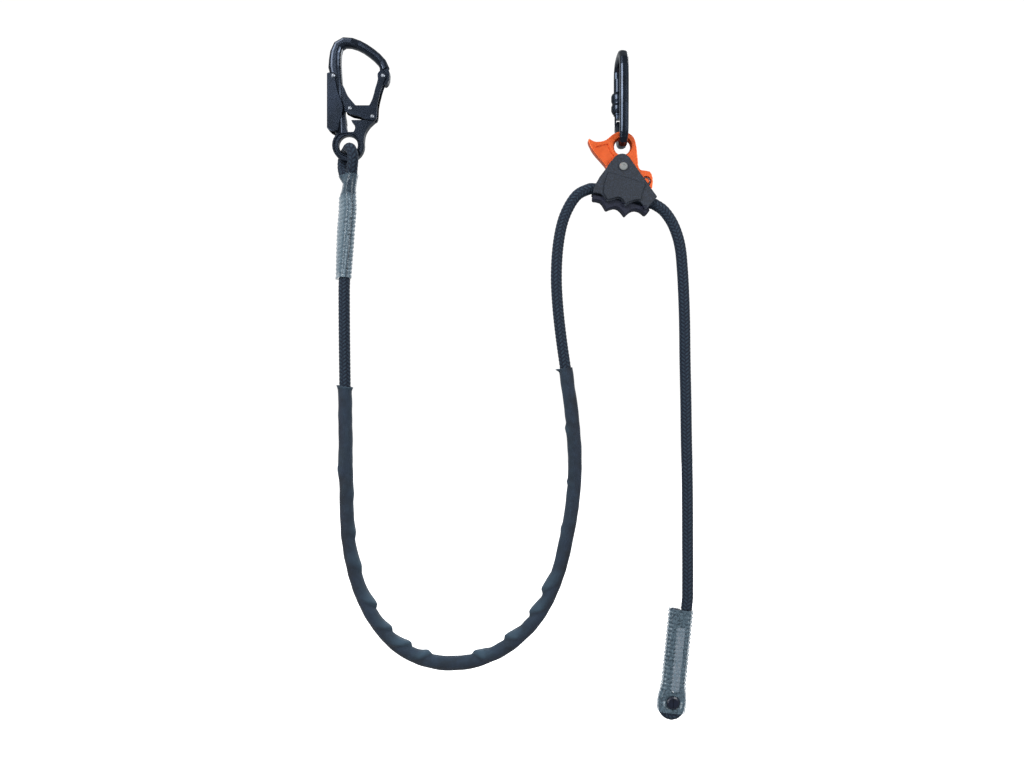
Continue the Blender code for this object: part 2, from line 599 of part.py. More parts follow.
def make_bolt(origin):
    head = 2.6
    start = PLATE_OUTER + GAP
    profile = [(0.0, start), (BOLT_RADIUS, start), (BOLT_RADIUS, -start), (4.5, -start),
               (4.5, -start - 1.4), (3.4, -start - head), (1.7, -start - head),
               (1.7, -start - 1.0), (0.0, -start - 1.0)]
    add_part("cam_bolt", turned_mesh(profile, "Y", steps=24), BRIGHT_STEEL, origin)
    nut = [(5.3, start + 4.0), (5.3, start + 0.6), (4.6, start + GAP), (BOLT_RADIUS + GAP, start + GAP),
           (BOLT_RADIUS + GAP, start + 4.0)]
    add_part("cam_bolt_nut", turned_mesh(nut, "Y", steps=6, ring=True), BRIGHT_STEEL, origin)
    stub = PLATE_INNER - GAP
    bush = [(BUSH_RADIUS, stub), (BUSH_RADIUS, -stub), (BOLT_RADIUS + GAP, -stub),
            (BOLT_RADIUS + GAP, stub)]
    add_part("cam_bush", turned_mesh(bush, "Y", steps=24, ring=True), BRIGHT_STEEL, origin)


# Rope

# The rope's own route from the hook eye's sleeve to the tail eye's sleeve, through the adjuster.
# The first and last spans of each stretch are straight, so that its ends meet the next face to face.
MAIN_ROUTE = [(-304.0, -5.4, -242.2), (-304.4, -5.2, -254.2), (-304.6, -3.4, -300.0),
              (-304.5, -0.8, -359.6), (-304.0, 0.0, -425.6), (-302.5, 0.0, -499.3),
              (-299.0, 0.0, -541.0), (-288.4, 0.0, -583.0), (-270.8, 0.0, -618.0),
              (-248.6, 0.0, -643.2), (-221.5, 0.0, -658.6), (-189.2, 0.0, -664.3),
              (-156.2, 0.0, -659.6), (-123.6, 0.0, -643.4), (-93.6, 0.0, -613.6),
              (-73.4, 0.0, -573.6), (-61.6, 0.0, -529.0), (-53.6, 0.0, -480.0),
              (-52.0, 0.0, -438.0), (-55.4, 0.0, -390.0), (-61.6, 0.0, -344.2),
              (-66.6, 0.0, -309.0), (-70.4, 0.0, -274.9), (-72.2, 0.0, -242.0),
              (-70.8, 0.0, -210.0), (-66.2, 0.0, -182.6), (-58.8, 0.0, -163.2),
              (-48.6, 0.0, -149.0), (-35.0, 0.0, -142.4), (-27.15, 0.0, -142.89)]
CHANNEL_ROUTE = [(-26.85, 0.0, -142.91), (-19.0, 0.0, -143.4), (-8.0, 0.0, -146.4),
                 (6.0, 0.0, -150.5), (20.36, 0.0, -154.92), (27.86, 0.0, -157.26)]
TAIL_ROUTE = [(28.14, 0.0, -157.34), (35.64, 0.0, -159.68), (45.6, 0.0, -166.6),
              (54.6, 0.0, -179.0), (60.8, 0.0, -194.0), (64.4, 0.0, -210.0), (66.4, 0.0, -232.0),
              (67.8, 0.0, -258.0), (68.8, 0.0, -290.0), (69.3, 0.0, -331.0), (70.2, 0.0, -375.0),
              (70.8, 0.0, -419.0), (71.6, 0.0, -454.0), (72.0, 0.0, -490.0), (72.1, 0.0, -530.0),
              (72.2, 0.0, -560.0), (72.1, 0.0, -592.6), (70.87, 0.0, -604.5)]

# The wear sleeve: where it starts and how long it is along the long stretch, and its folds, each as the
# distance from the sleeve's start, the side that it stands out on (1 is inside the bend) and height.
SLEEVE_START = 118.0
SLEEVE_LENGTH = 756.0
SLEEVE_RADIUS = 7.6
SLEEVE_WALL = 0.55
SLEEVE_STEP = 15.0
SLEEVE_SIDES = 12
FOLDS = [(98.0, -1, 1.5), (246.0, 1, 2.4), (284.0, 1, 2.6), (318.0, 1, 2.0), (346.0, 1, 1.8),
         (392.0, 1, 2.6), (435.0, 1, 2.6), (468.0, 1, 2.2), (500.0, 1, 2.2), (691.0, 1, 1.8)]
FOLD_HALF_LENGTH = 12.0
CUFF_FLARE = 1.3
CUFF_LENGTH = 6.0


def straight_ended(route, step):
    """Even steps along the route, with its first and last spans kept straight."""
    return [route[0]] + even_points(route[1:-1], step) + [route[-1]]


def make_rope(world):
    for name, route, step in (("rope_long_stretch", MAIN_ROUTE, CORD_STEP),
                              ("rope_in_adjuster", CHANNEL_ROUTE, CORD_STEP / 2),
                              ("rope_tail", TAIL_ROUTE, CORD_STEP)):
        tube = tube_mesh(straight_ended(route, step), ROPE_RADIUS)
        add_part(name, tube, ROPE, world)


def make_wear_sleeve(world):
    """A woven tube on the rope, loose enough to stand out in folds at the bend."""
    fine = even_points(MAIN_ROUTE, 1.0)
    first = round(SLEEVE_START)
    path = fine[first:first + round(SLEEVE_LENGTH) + 1]
    count = round(SLEEVE_LENGTH / SLEEVE_STEP)
    stations = [path[round(index * (len(path) - 1) / count)] for index in range(count + 1)]
    rings = []
    for index, (point, travel) in enumerate(zip(stations, directions(stations))):
        along = SLEEVE_LENGTH * index / count
        inward = Vector((-travel.z, 0.0, travel.x))
        across = travel.cross(inward)
        to_end = min(along, SLEEVE_LENGTH - along)
        flare = CUFF_FLARE * max(0.0, 1.0 - to_end / CUFF_LENGTH)
        ring = []
        for corner in range(SLEEVE_SIDES):
            angle = 2 * math.pi * corner / SLEEVE_SIDES
            lift = flare
            for place, side, height in FOLDS:
                near = math.exp(-((along - place) / FOLD_HALF_LENGTH) ** 2)
                lift += height * near * max(0.0, side * math.cos(angle)) ** 2
            radius = SLEEVE_RADIUS + lift
            offset = inward * math.cos(angle) + across * math.sin(angle)
            ring.append(Vector(point[:3]) + offset * radius)
        rings.append(ring)
    sleeve = add_part("wear_sleeve", loft_mesh(rings, open_ends=True), WEAR_FABRIC, world)
    shell(sleeve, SLEEVE_WALL)


def shell(obj, wall):
    """Turn an open skin into a wall, inward from the skin."""
    modifier = obj.modifiers.new("wall", "SOLIDIFY")
    modifier.thickness = wall * MM
    modifier.offset = -1.0
    modifier.use_even_offset = True


def paired_ring(middle, apart, radius, normal, steps=10):
    """A ring round two strands that lie side by side: two half rounds joined by straight sides."""
    middle = Vector(middle)
    apart = Vector(apart)
    normal = Vector(normal)
    sideways = apart.normalized()
    ring = []
    for end, turn in ((1, -90), (-1, 90)):
        for step in range(steps // 2 + 1):
            angle = math.radians(turn + 180 * step / (steps // 2))
            offset = sideways * math.cos(angle) + normal * math.sin(angle)
            ring.append(middle + apart * end + offset * radius)
    return ring


SLEEVE_HALF = SEWN_RADIUS + 1.3
CLEAR_WALL = 0.55

# The seam shows as a row of thread in the groove between the strands, on both sides.
SEAM_SIDES = (("front", -1), ("rear", 1))
SEAM_HEIGHT = 3.6
SEAM_RADIUS = 0.9


def make_hook_eye(origin):
    """The sewn eye at the hook: the rope goes up, through the ring, and back down beside itself."""
    lean = Vector((2.4, -5.39, 0.0)) * (STRAND_OFFSET / 5.9)
    top = Vector((-2.2, 0.0, -30.0))
    foot = Vector((-5.8, 0.0, -146.3))
    route = [foot - lean + Vector((0.2, 0.0, 8.0))]
    for share in (0.7, 0.4, 0.15, 0.05, 0.0):
        route.append(top.lerp(foot, share) - lean)
    route += [(-6.4, 7.0, -24.5), (-7.2, 9.4, -19.5), (-6.2, 10.9, -14.0), (-4.4, 9.8, -8.6),
              (-2.0, 5.8, -4.6), (-0.3, 0.0, -3.7), (1.0, -5.8, -4.6), (2.0, -9.8, -8.6),
              (2.2, -10.9, -14.0), (1.7, -9.4, -19.5), (0.9, -7.0, -24.5)]
    for share in (0.0, 0.05, 0.15, 0.4, 0.7, 1.0):
        route.append(top.lerp(foot, share) + lean)
    points = even_points(route, 6.5)
    add_part("rope_hook_eye", tube_mesh(points, SEWN_RADIUS), ROPE, origin)
    closest = least_gap(points, SEWN_RADIUS)
    print("rope_hook_eye least gap to itself", round(closest, 3), "mm")

    normal = Vector((0.0, 0.0, 1.0)).cross(lean.normalized())
    rings = [paired_ring(top.lerp(foot, share), lean, SLEEVE_HALF, normal)
             for share in (0.03, 0.35, 0.7, 0.998)]
    clear = add_part("hook_eye_clear_sleeve", loft_mesh(rings, open_ends=True), CLEAR_TUBE, origin)
    shell(clear, CLEAR_WALL)

    for name, side in SEAM_SIDES:
        start = top.lerp(foot, 0.05) + normal * side * SEAM_HEIGHT
        end = top.lerp(foot, 0.9) + normal * side * SEAM_HEIGHT
        row = tube_mesh([start, start.lerp(end, 0.5), end], SEAM_RADIUS, sides=8)
        add_part("hook_eye_stitching_" + name, row, THREAD, origin)


def least_gap(points, radius):
    """The least gap between the two strands of a tube that doubles back on itself."""
    best = math.inf
    for index, one in enumerate(points):
        for other in points[index + 6:]:
            best = min(best, math.dist(one[:3], other[:3]) - 2 * radius)
    return best


def make_tail_eye(origin):
    """The sewn eye at the tail's end, with a plug in it, drawn upright from the plug's centre."""
    spread = 8.6
    route = [(STRAND_OFFSET, 0.0, 101.6), (STRAND_OFFSET, 0.0, 80.0), (STRAND_OFFSET, 0.0, 50.0),
             (STRAND_OFFSET, 0.0, 27.0), (7.0, 0.0, 15.0), (spread, 0.0, 4.0), (spread, 0.0, -4.0)]
    for step in range(1, 8):
        angle = math.radians(180 * step / 8)
        route.append((spread * math.cos(angle), 0.0, -6.6 - spread * math.sin(angle)))
    route += [(-x, y, z) for x, y, z in reversed(route[:7])]
    route[-1] = (-STRAND_OFFSET, 0.0, 94.0)
    points = even_points(route, 6.5)
    add_part("rope_tail_eye", tube_mesh(points, SEWN_RADIUS), ROPE, origin)
    print("rope_tail_eye least gap to itself", round(least_gap(points, SEWN_RADIUS), 3), "mm")

    outline = [(101.4, STRAND_OFFSET), (60.0, STRAND_OFFSET), (27.0, STRAND_OFFSET),
               (15.0, 7.1), (4.0, spread), (-4.0, spread), (-11.6, spread - 0.4)]
    rings = [paired_ring((0.0, 0.0, z), (half, 0.0, 0.0), SLEEVE_HALF, (0.0, -1.0, 0.0))
             for z, half in outline]
    clear = add_part("tail_eye_clear_sleeve", loft_mesh(rings, open_ends=True), CLEAR_TUBE, origin)
    shell(clear, CLEAR_WALL)
    window = rod_mesh(7.3, -20, 20, "Y", (0, 0, 0), 24)
    combine(clear, add_cutter("tail_eye_window", window, origin))

    flange = 6.9
    waist = 2.3
    inside = SEWN_RADIUS + 0.35
    outside = inside + 1.9
    profile = [(0.0, outside), (flange - 1.6, outside), (flange, outside - 1.0), (flange, inside),
               (waist, inside), (waist, -inside), (flange, -inside), (flange, 1.0 - outside),
               (flange - 1.6, -outside), (0.0, -outside)]
    plug = add_part("tail_eye_plug", turned_mesh(profile, "Y", steps=24), BLACK_RUBBER, origin)
    slot = box_mesh((-0.6, -outside - 1, -4.6), (0.6, 0.7 - outside, 4.6))
    combine(plug, add_cutter("tail_plug_slot", slot, origin))

    strip = box_mesh((-4.4, -6.2, 12.0), (5.4, -6.0, 82.0))
    add_part("tail_eye_label", strip, LABEL, origin)
    for name, side in SEAM_SIDES:
        ends = [(0.0, side * SEAM_HEIGHT, 30.0), (0.0, side * SEAM_HEIGHT, 92.0)]
        row = tube_mesh(ends, SEAM_RADIUS, sides=8)
        add_part("tail_eye_stitching_" + name, row, THREAD, origin)


clear_scene()
PARTS = new_collection("climbing_lanyard")
CUTTERS = new_collection("cutters")

BLACK_METAL = finish("black anodised aluminium", "1e2530", 0.38, 0.85)
BARE_STEEL = finish("bare steel rivet", "c8c0c0", 0.35, 1.0)
BRIGHT_STEEL = finish("bright plated steel", "d4d4d2", 0.22, 1.0)
SPRING_STEEL = finish("spring wire", "70757a", 0.3, 1.0)
DARK_PLATE = finish("dark grey coated plate", "2b3641", 0.55, 0.3)
GRIP_RUBBER = finish("moulded grip", "20252d", 0.7)
ORANGE_ALLOY = finish("orange anodised alloy", "f9682a", 0.35, 0.4)
ROPE = finish("navy kernmantle rope", "1c2432", 0.9)
WEAR_FABRIC = finish("dark woven sleeve", "2c3545", 0.85)
CLEAR_TUBE = finish("clear shrunk tube", "5f7480", 0.2, 0.0, 0.5)
THREAD = finish("black seam thread", "11151c", 0.8)
BLACK_RUBBER = finish("black rubber plug", "14171d", 0.5)
LABEL = finish("bare grey label strip", "8a8f96", 0.7)

make_carabiner(frame("carabiner_frame", (0.0, 0.0, 0.0)))
make_snap_hook(frame("snap_hook_frame", RING_CENTRE))
make_adjuster(frame("adjuster_frame", BOLT_PLACE))
rope_frame = frame("rope_frame", (0.0, 0.0, 0.0))
make_rope(rope_frame)
make_wear_sleeve(rope_frame)
make_hook_eye(frame("hook_eye_frame", RING_CENTRE))
make_tail_eye(frame("tail_eye_frame", TAIL_EYE, TAIL_LEAN))
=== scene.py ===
"""A tree climbing lanyard, hung from its carabiner: the rope, its sleeves and the finish of every piece."""
import math

import bmesh
import bpy
import numpy as np
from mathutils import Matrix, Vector, noise


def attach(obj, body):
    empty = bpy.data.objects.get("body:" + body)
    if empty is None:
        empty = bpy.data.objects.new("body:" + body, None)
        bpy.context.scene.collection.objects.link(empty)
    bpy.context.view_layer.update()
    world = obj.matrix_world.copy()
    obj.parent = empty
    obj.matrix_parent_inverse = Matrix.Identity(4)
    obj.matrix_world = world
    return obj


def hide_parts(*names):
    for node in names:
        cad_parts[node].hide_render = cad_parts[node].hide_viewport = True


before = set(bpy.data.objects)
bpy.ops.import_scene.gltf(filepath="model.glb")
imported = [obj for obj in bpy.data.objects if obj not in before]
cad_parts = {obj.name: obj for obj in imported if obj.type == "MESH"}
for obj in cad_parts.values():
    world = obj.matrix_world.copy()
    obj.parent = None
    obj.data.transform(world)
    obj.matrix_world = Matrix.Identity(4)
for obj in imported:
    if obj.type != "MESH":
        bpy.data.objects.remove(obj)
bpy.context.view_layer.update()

MM = 0.001
scene = bpy.context.scene


# Camera

CAMERA_PLACE = (-0.121, -0.800, -0.3568)
SENSOR_WIDTH = 36.0
FOCAL_LENGTH = 25.57
FURTHEST_SEEN = 30.0


def make_camera():
    """Square on to the lanyard, at the height of the middle of the picture."""
    data = bpy.data.cameras.new("camera")
    camera = bpy.data.objects.new("camera", data)
    scene.collection.objects.link(camera)
    data.sensor_width = SENSOR_WIDTH
    data.lens = FOCAL_LENGTH
    camera.location = CAMERA_PLACE
    camera.rotation_euler = (math.radians(90), 0.0, 0.0)
    data.clip_end = FURTHEST_SEEN
    scene.camera = camera


make_camera()


# Finishes

def linear(colour):
    """A hex colour as linear red, green, blue and alpha."""
    channels = []
    for index in (0, 2, 4):
        value = int(colour[index:index + 2], 16) / 255
        channels.append(value / 12.92 if value <= 0.04045 else ((value + 0.055) / 1.055) ** 2.4)
    return (*channels, 1.0)


def add(tree, kind, settings=None, **inputs):
    """A node with its settings, and its inputs given as values or as sockets to link."""
    made = tree.nodes.new(kind)
    for name, value in (settings or {}).items():
        setattr(made, name, value)
    for name, value in inputs.items():
        key = int(name[1:]) if name[0] == "i" and name[1:].isdigit() else name.replace("_", " ")
        if isinstance(value, bpy.types.NodeSocket):
            tree.links.new(value, made.inputs[key])
        else:
            made.inputs[key].default_value = value
    return made


def new_finish(name, colour, roughness, metallic=0.0, **more):
    """A material with the values that are the same all over its surface."""
    material = bpy.data.materials.new(name)
    material.use_nodes = True
    tree = material.node_tree
    shader = tree.nodes["Principled BSDF"]
    shader.inputs["Base Color"].default_value = linear(colour)
    shader.inputs["Roughness"].default_value = roughness
    shader.inputs["Metallic"].default_value = metallic
    for key, value in more.items():
        shader.inputs[key.replace("_", " ")].default_value = value
    return material, tree, shader


def ramp(tree, factor, stops):
    """Colours along a factor, as (place, hex colour) pairs."""
    made = add(tree, "ShaderNodeValToRGB", Fac=factor)
    points = made.color_ramp.elements
    while len(points) < len(stops):
        points.new(0.5)
    for point, (place, colour) in zip(points, stops):
        point.position = place
        point.color = linear(colour)
    return made.outputs["Color"]


def spread(tree, factor, low, high):
    """A factor from 0 to 1 stretched from low to high."""
    made = add(tree, "ShaderNodeMapRange", Value=factor, To_Min=low, To_Max=high)
    return made.outputs["Result"]


def grain(tree, size_mm, detail=3.0, stretch=(1.0, 1.0, 1.0)):
    """Noise whose blots are about this size on the object."""
    place = add(tree, "ShaderNodeTexCoord").outputs["Object"]
    mapped = add(tree, "ShaderNodeMapping", Vector=place, Scale=stretch)
    made = add(tree, "ShaderNodeTexNoise", Vector=mapped.outputs["Vector"],
               Scale=1.0 / (size_mm * MM), Detail=detail, Roughness=0.6)
    return made.outputs["Fac"]


def bump(tree, shader, height, depth_mm, strength):
    """Relief of this depth, from a height between 0 and 1."""
    made = add(tree, "ShaderNodeBump", Strength=strength, Distance=depth_mm * MM, Height=height)
    tree.links.new(made.outputs["Normal"], shader.inputs["Normal"])


def anodised_forging():
    """Hot-forged aluminium, tumbled, dyed black and sealed: deep blue black under a clear oxide skin."""
    material, tree, shader = new_finish("black anodised forged aluminium", "1c2531", 0.28, 0.85,
                                        Coat_Weight=0.22, Coat_Roughness=0.18)
    blots = grain(tree, 14.0, detail=1.0)
    tree.links.new(ramp(tree, blots, [(0.3, "19212d"), (0.7, "232c3a")]), shader.inputs["Base Color"])
    tree.links.new(spread(tree, grain(tree, 12.0, detail=1.0), 0.24, 0.3), shader.inputs["Roughness"])
    return material


def blackened_pressing():
    """Steel strip, pressed to shape and blackened: a shade darker than the forging, under a thinner skin."""
    material, tree, shader = new_finish("blackened pressed steel", "192029", 0.27, 0.85,
                                        Coat_Weight=0.1, Coat_Roughness=0.25)
    blots = grain(tree, 16.0, detail=1.0)
    tree.links.new(ramp(tree, blots, [(0.3, "171f2a"), (0.7, "202938")]), shader.inputs["Base Color"])
    tree.links.new(spread(tree, grain(tree, 12.0, detail=1.0, stretch=(1, 1, 0.2)), 0.24, 0.3),
                   shader.inputs["Roughness"])
    return material


def coated_plate():
    """Aluminium side plate with a matt hard coating: blue black with a fine mottle."""
    material, tree, shader = new_finish("matt hard coated plate", "2b3641", 0.6, 0.25)
    # A pixel of the picture is 1.1 mm wide, so a mottle finer than this wouldn't show.
    fine = grain(tree, 1.3, detail=6.0)
    tree.links.new(ramp(tree, fine, [(0.38, "070f1c"), (0.5, "101927"), (0.62, "222d3f")]),
                   shader.inputs["Base Color"])
    tree.links.new(spread(tree, grain(tree, 4.0), 0.52, 0.68), shader.inputs["Roughness"])
    bump(tree, shader, grain(tree, 0.5), 0.04, 0.6)
    return material


def moulded_grip():
    """Moulded thermoplastic rubber: nearly black, dull, with a spark-eroded texture."""
    material, tree, shader = new_finish("moulded rubber grip", "161a30", 0.75, Specular_IOR_Level=0.3)
    tree.links.new(ramp(tree, grain(tree, 3.0), [(0.3, "101428"), (0.7, "1b2037")]),
                   shader.inputs["Base Color"])
    bump(tree, shader, grain(tree, 0.4), 0.06, 0.7)
    return material


def orange_anodising():
    """Milled aluminium, dyed orange in its anodising: bright, with a soft metallic sheen."""
    material, tree, shader = new_finish("orange anodised aluminium", "ed6327", 0.38, 0.35)
    tree.links.new(ramp(tree, grain(tree, 9.0), [(0.3, "e65c20"), (0.7, "f3692d")]),
                   shader.inputs["Base Color"])
    tree.links.new(spread(tree, grain(tree, 11.0, detail=1.0), 0.34, 0.42), shader.inputs["Roughness"])
    return material


def plain_steel(name, colour, low, high, size_mm):
    """Steel left bare, plated or blackened, with the light handling marks of a turned or drawn piece."""
    material, tree, shader = new_finish(name, colour, (low + high) / 2, 1.0)
    tree.links.new(spread(tree, grain(tree, size_mm), low, high), shader.inputs["Roughness"])
    bump(tree, shader, grain(tree, size_mm / 2), 0.02, 0.4)
    return material


# The yarns' lines are about this wide, in millimetres.
YARN_WIDTH = 0.625


def braided_sheath():
    """Braided polyester sheath: painted shade in the gaps where the bundles dive under, paler on their
    crowns, and the yarns' own fine lines.
    """
    material, tree, shader = new_finish("braided polyester sheath", "1c2432", 0.85, 0.0,
                                        Sheen_Weight=0.15, Sheen_Roughness=0.4,
                                        Specular_IOR_Level=0.2)
    height = add(tree, "ShaderNodeAttribute", {"attribute_name": "bundle"}).outputs["Fac"]
    # Painted shade and light from the bundles' relief: darkest in the gaps, palest on the crowns.
    tree.links.new(ramp(tree, height, [(0.15, "0b101b"), (0.55, "1a2435"), (0.95, "30404f")]),
                   shader.inputs["Base Color"])
    flat = add(tree, "ShaderNodeUVMap", {"uv_map": "braid"}).outputs["UV"]
    yarns = add(tree, "ShaderNodeTexNoise", Vector=flat, Scale=1.0 / YARN_WIDTH, Detail=2.0)
    bump(tree, shader, yarns.outputs["Fac"], 0.15, 0.6)
    return material


# A wave texture's bands are 0.314 / scale apart. The real ribs are about 0.7 mm apart, and these are
# drawn 1.3 mm apart, so that they show.
WEAVE_SCALE = 0.24


def woven_tube():
    """Dense flat-woven polyester tube, worn over the rope: dark slate with fine ribs across it, and a
    painted highlight: paler on the raised folds and on the inside of the bend."""
    material, tree, shader = new_finish("woven polyester wear tube", "2c3545", 0.8, 0.0,
                                        Sheen_Weight=0.2, Sheen_Roughness=0.5,
                                        Specular_IOR_Level=0.25)
    flat = add(tree, "ShaderNodeUVMap", {"uv_map": "weave"}).outputs["UV"]
    ribs = add(tree, "ShaderNodeTexWave", {"wave_type": "BANDS", "bands_direction": "Y"},
               Vector=flat, Scale=WEAVE_SCALE, Distortion=0.6, Detail=1.0, Detail_Scale=2.0)
    cloudy = grain(tree, 14.0)
    tint = ramp(tree, cloudy, [(0.36, "0f1828"), (0.64, "213046")])
    dark = add(tree, "ShaderNodeMix", {"data_type": "RGBA", "blend_type": "MULTIPLY"})
    tree.links.new(spread(tree, ribs.outputs["Fac"], 0.12, 0.4), dark.inputs["Factor"])
    # Painted highlight on the raised folds and the inside of the bend, mixed towards this pale colour.
    highlight_paint = add(tree, "ShaderNodeMix", {"data_type": "RGBA"})
    tree.links.new(add(tree, "ShaderNodeAttribute", {"attribute_name": "painted_highlight"}).outputs["Fac"],
                   highlight_paint.inputs["Factor"])
    tree.links.new(tint, highlight_paint.inputs[6])
    highlight_paint.inputs[7].default_value = linear("3a5163")
    tree.links.new(highlight_paint.outputs[2], dark.inputs[6])
    dark.inputs[7].default_value = linear("5a6068")
    tree.links.new(dark.outputs[2], shader.inputs["Base Color"])
    bump(tree, shader, ribs.outputs["Fac"], 0.12, 0.5)
    return material


# How dense a film's face is where it is seen edge on.
EDGE_ALPHA = 0.6


def clear_film(name, valley_alpha, crest_alpha):
    """Heat-shrunk clear vinyl: glossy, with pale ribs over the stitches, denser where seen edge on.
    Each wall is two faces deep, so a face is about half as dense as the wall looks."""
    material, tree, shader = new_finish(name, "8fa3ae", 0.25, 0.0, IOR=1.5)
    rib = add(tree, "ShaderNodeAttribute", {"attribute_name": "rib"}).outputs["Fac"]
    tree.links.new(ramp(tree, rib, [(0.0, "657b8a"), (0.5, "8aa2b1"), (1.0, "c9d6de")]),
                   shader.inputs["Base Color"])
    edge = add(tree, "ShaderNodeLayerWeight", Blend=0.3).outputs["Facing"]
    face = spread(tree, rib, valley_alpha, crest_alpha)
    cloud = add(tree, "ShaderNodeMapRange", Value=grain(tree, 2.4), From_Min=0.38, From_Max=0.62,
                To_Min=0.35, To_Max=1.65).outputs["Result"]
    mottled = add(tree, "ShaderNodeMath", {"operation": "MULTIPLY"}, i0=face, i1=cloud)
    dense = add(tree, "ShaderNodeMix", {"data_type": "FLOAT"})
    tree.links.new(edge, dense.inputs["Factor"])
    tree.links.new(mottled.outputs[0], dense.inputs[2])
    dense.inputs[3].default_value = EDGE_ALPHA
    tree.links.new(dense.outputs[0], shader.inputs["Alpha"])
    bump(tree, shader, grain(tree, 1.5), 0.1, 0.4)
    return material


def seam_thread():
    """Bonded polyester thread, dark, in short stitches along the seam."""
    material, tree, shader = new_finish("bonded polyester thread", "11151c", 0.7)
    tree.links.new(ramp(tree, grain(tree, 1.0), [(0.35, "0e1219"), (0.65, "1c232e")]),
                   shader.inputs["Base Color"])
    bump(tree, shader, grain(tree, 0.5), 0.1, 0.6)
    return material


def moulded_nylon():
    """Moulded nylon plug: black and smooth, with a soft gloss."""
    material, tree, shader = new_finish("moulded black nylon", "0c1428", 0.3, Specular_IOR_Level=0.4)
    tree.links.new(ramp(tree, grain(tree, 4.0), [(0.3, "0a1124"), (0.7, "131c33")]),
                   shader.inputs["Base Color"])
    bump(tree, shader, grain(tree, 0.6), 0.03, 0.4)
    return material


def woven_label():
    """A bare strip of grey woven tape."""
    material, tree, shader = new_finish("grey woven tape", "8d9198", 0.8)
    tree.links.new(ramp(tree, grain(tree, 1.4, detail=5.0), [(0.3, "a2a7b0"), (0.7, "bec2ca")]),
                   shader.inputs["Base Color"])
    bump(tree, shader, grain(tree, 0.5), 0.05, 0.6)
    return material


FORGING = anodised_forging()
PRESSING = blackened_pressing()
COATED = coated_plate()
GRIP = moulded_grip()
ORANGE = orange_anodising()
RIVET_STEEL = plain_steel("bare rivet steel", "74787f", 0.35, 0.5, 1.0)
DARK_RIVET = plain_steel("blackened rivet steel", "3a434d", 0.35, 0.5, 1.0)
BOLT_STEEL = plain_steel("bright plated steel", "d4d4d2", 0.15, 0.3, 1.5)
SPRING_WIRE = plain_steel("drawn spring wire", "70757a", 0.25, 0.4, 0.6)
SHEATH = braided_sheath()
WEAR_TUBE = woven_tube()
HOOK_FILM = clear_film("clear shrunk vinyl, clouded", 0.12, 0.52)
TAIL_FILM = clear_film("clear shrunk vinyl", 0.1, 0.46)
SEAM = seam_thread()
NYLON = moulded_nylon()
TAPE = woven_label()

NODE_FINISHES = {
    "carabiner_body": FORGING, "carabiner_gate": PRESSING, "carabiner_lock_sleeve": FORGING,
    "carabiner_gate_rivet": DARK_RIVET, "carabiner_sleeve_guide": DARK_RIVET,
    "carabiner_sleeve_spring": SPRING_WIRE,
    "snap_hook_body": FORGING, "snap_hook_gate": PRESSING, "snap_hook_lock_lever": PRESSING,
    "snap_hook_gate_hinge_rivet": RIVET_STEEL, "snap_hook_gate_nose_rivet": RIVET_STEEL,
    "snap_hook_gate_tail_rivet": RIVET_STEEL, "snap_hook_lever_rivet": RIVET_STEEL,
    "snap_hook_gate_spring": SPRING_WIRE, "snap_hook_lever_spring": SPRING_WIRE,
    "adjuster_front_plate": COATED, "adjuster_rear_plate": COATED,
    "adjuster_front_grip_panel": COATED, "adjuster_rear_grip_panel": COATED,
    "adjuster_grip_block": GRIP, "adjuster_grip_rivet_1": GRIP, "adjuster_grip_rivet_2": GRIP,
    "adjuster_grip_rivet_3": GRIP,
    "cam_lever": ORANGE, "cam_return_spring": SPRING_WIRE,
    "cam_bolt": BOLT_STEEL, "cam_bolt_nut": BOLT_STEEL, "cam_bush": BOLT_STEEL,
    "tail_eye_plug": NYLON,
}
for name, material in NODE_FINISHES.items():
    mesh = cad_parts[name].data
    mesh.materials.clear()
    mesh.materials.append(material)


# Rope

# The route of the rope, in metres: down from the hook's sewn eye, round the bend and up to the
# adjuster, through it, and down to the tail's sewn eye.
LONG_ROUTE = [(-0.3040, -0.0054, -0.2422), (-0.3044, -0.0052, -0.2542), (-0.3046, -0.0034, -0.3000),
              (-0.3045, -0.0008, -0.3596), (-0.3040, 0.0, -0.4256), (-0.3025, 0.0, -0.4993),
              (-0.2990, 0.0, -0.5410), (-0.2884, 0.0, -0.5830), (-0.2708, 0.0, -0.6180),
              (-0.2486, 0.0, -0.6432), (-0.2215, 0.0, -0.6586), (-0.1892, 0.0, -0.6643),
              (-0.1562, 0.0, -0.6596), (-0.1236, 0.0, -0.6434), (-0.0936, 0.0, -0.6136),
              (-0.0734, 0.0, -0.5736), (-0.0616, 0.0, -0.5290), (-0.0536, 0.0, -0.4800),
              (-0.0520, 0.0, -0.4380), (-0.0554, 0.0, -0.3900), (-0.0616, 0.0, -0.3442),
              (-0.0666, 0.0, -0.3090), (-0.0704, 0.0, -0.2749), (-0.0722, 0.0, -0.2420),
              (-0.0708, 0.0, -0.2100), (-0.0662, 0.0, -0.1826), (-0.0588, 0.0, -0.1632),
              (-0.0486, 0.0, -0.1490), (-0.0350, 0.0, -0.1424), (-0.02715, 0.0, -0.14289)]
INNER_ROUTE = [(-0.02685, 0.0, -0.14291), (-0.0190, 0.0, -0.1434), (-0.0080, 0.0, -0.1464),
               (0.0060, 0.0, -0.1505), (0.02036, 0.0, -0.15492), (0.02786, 0.0, -0.15726)]
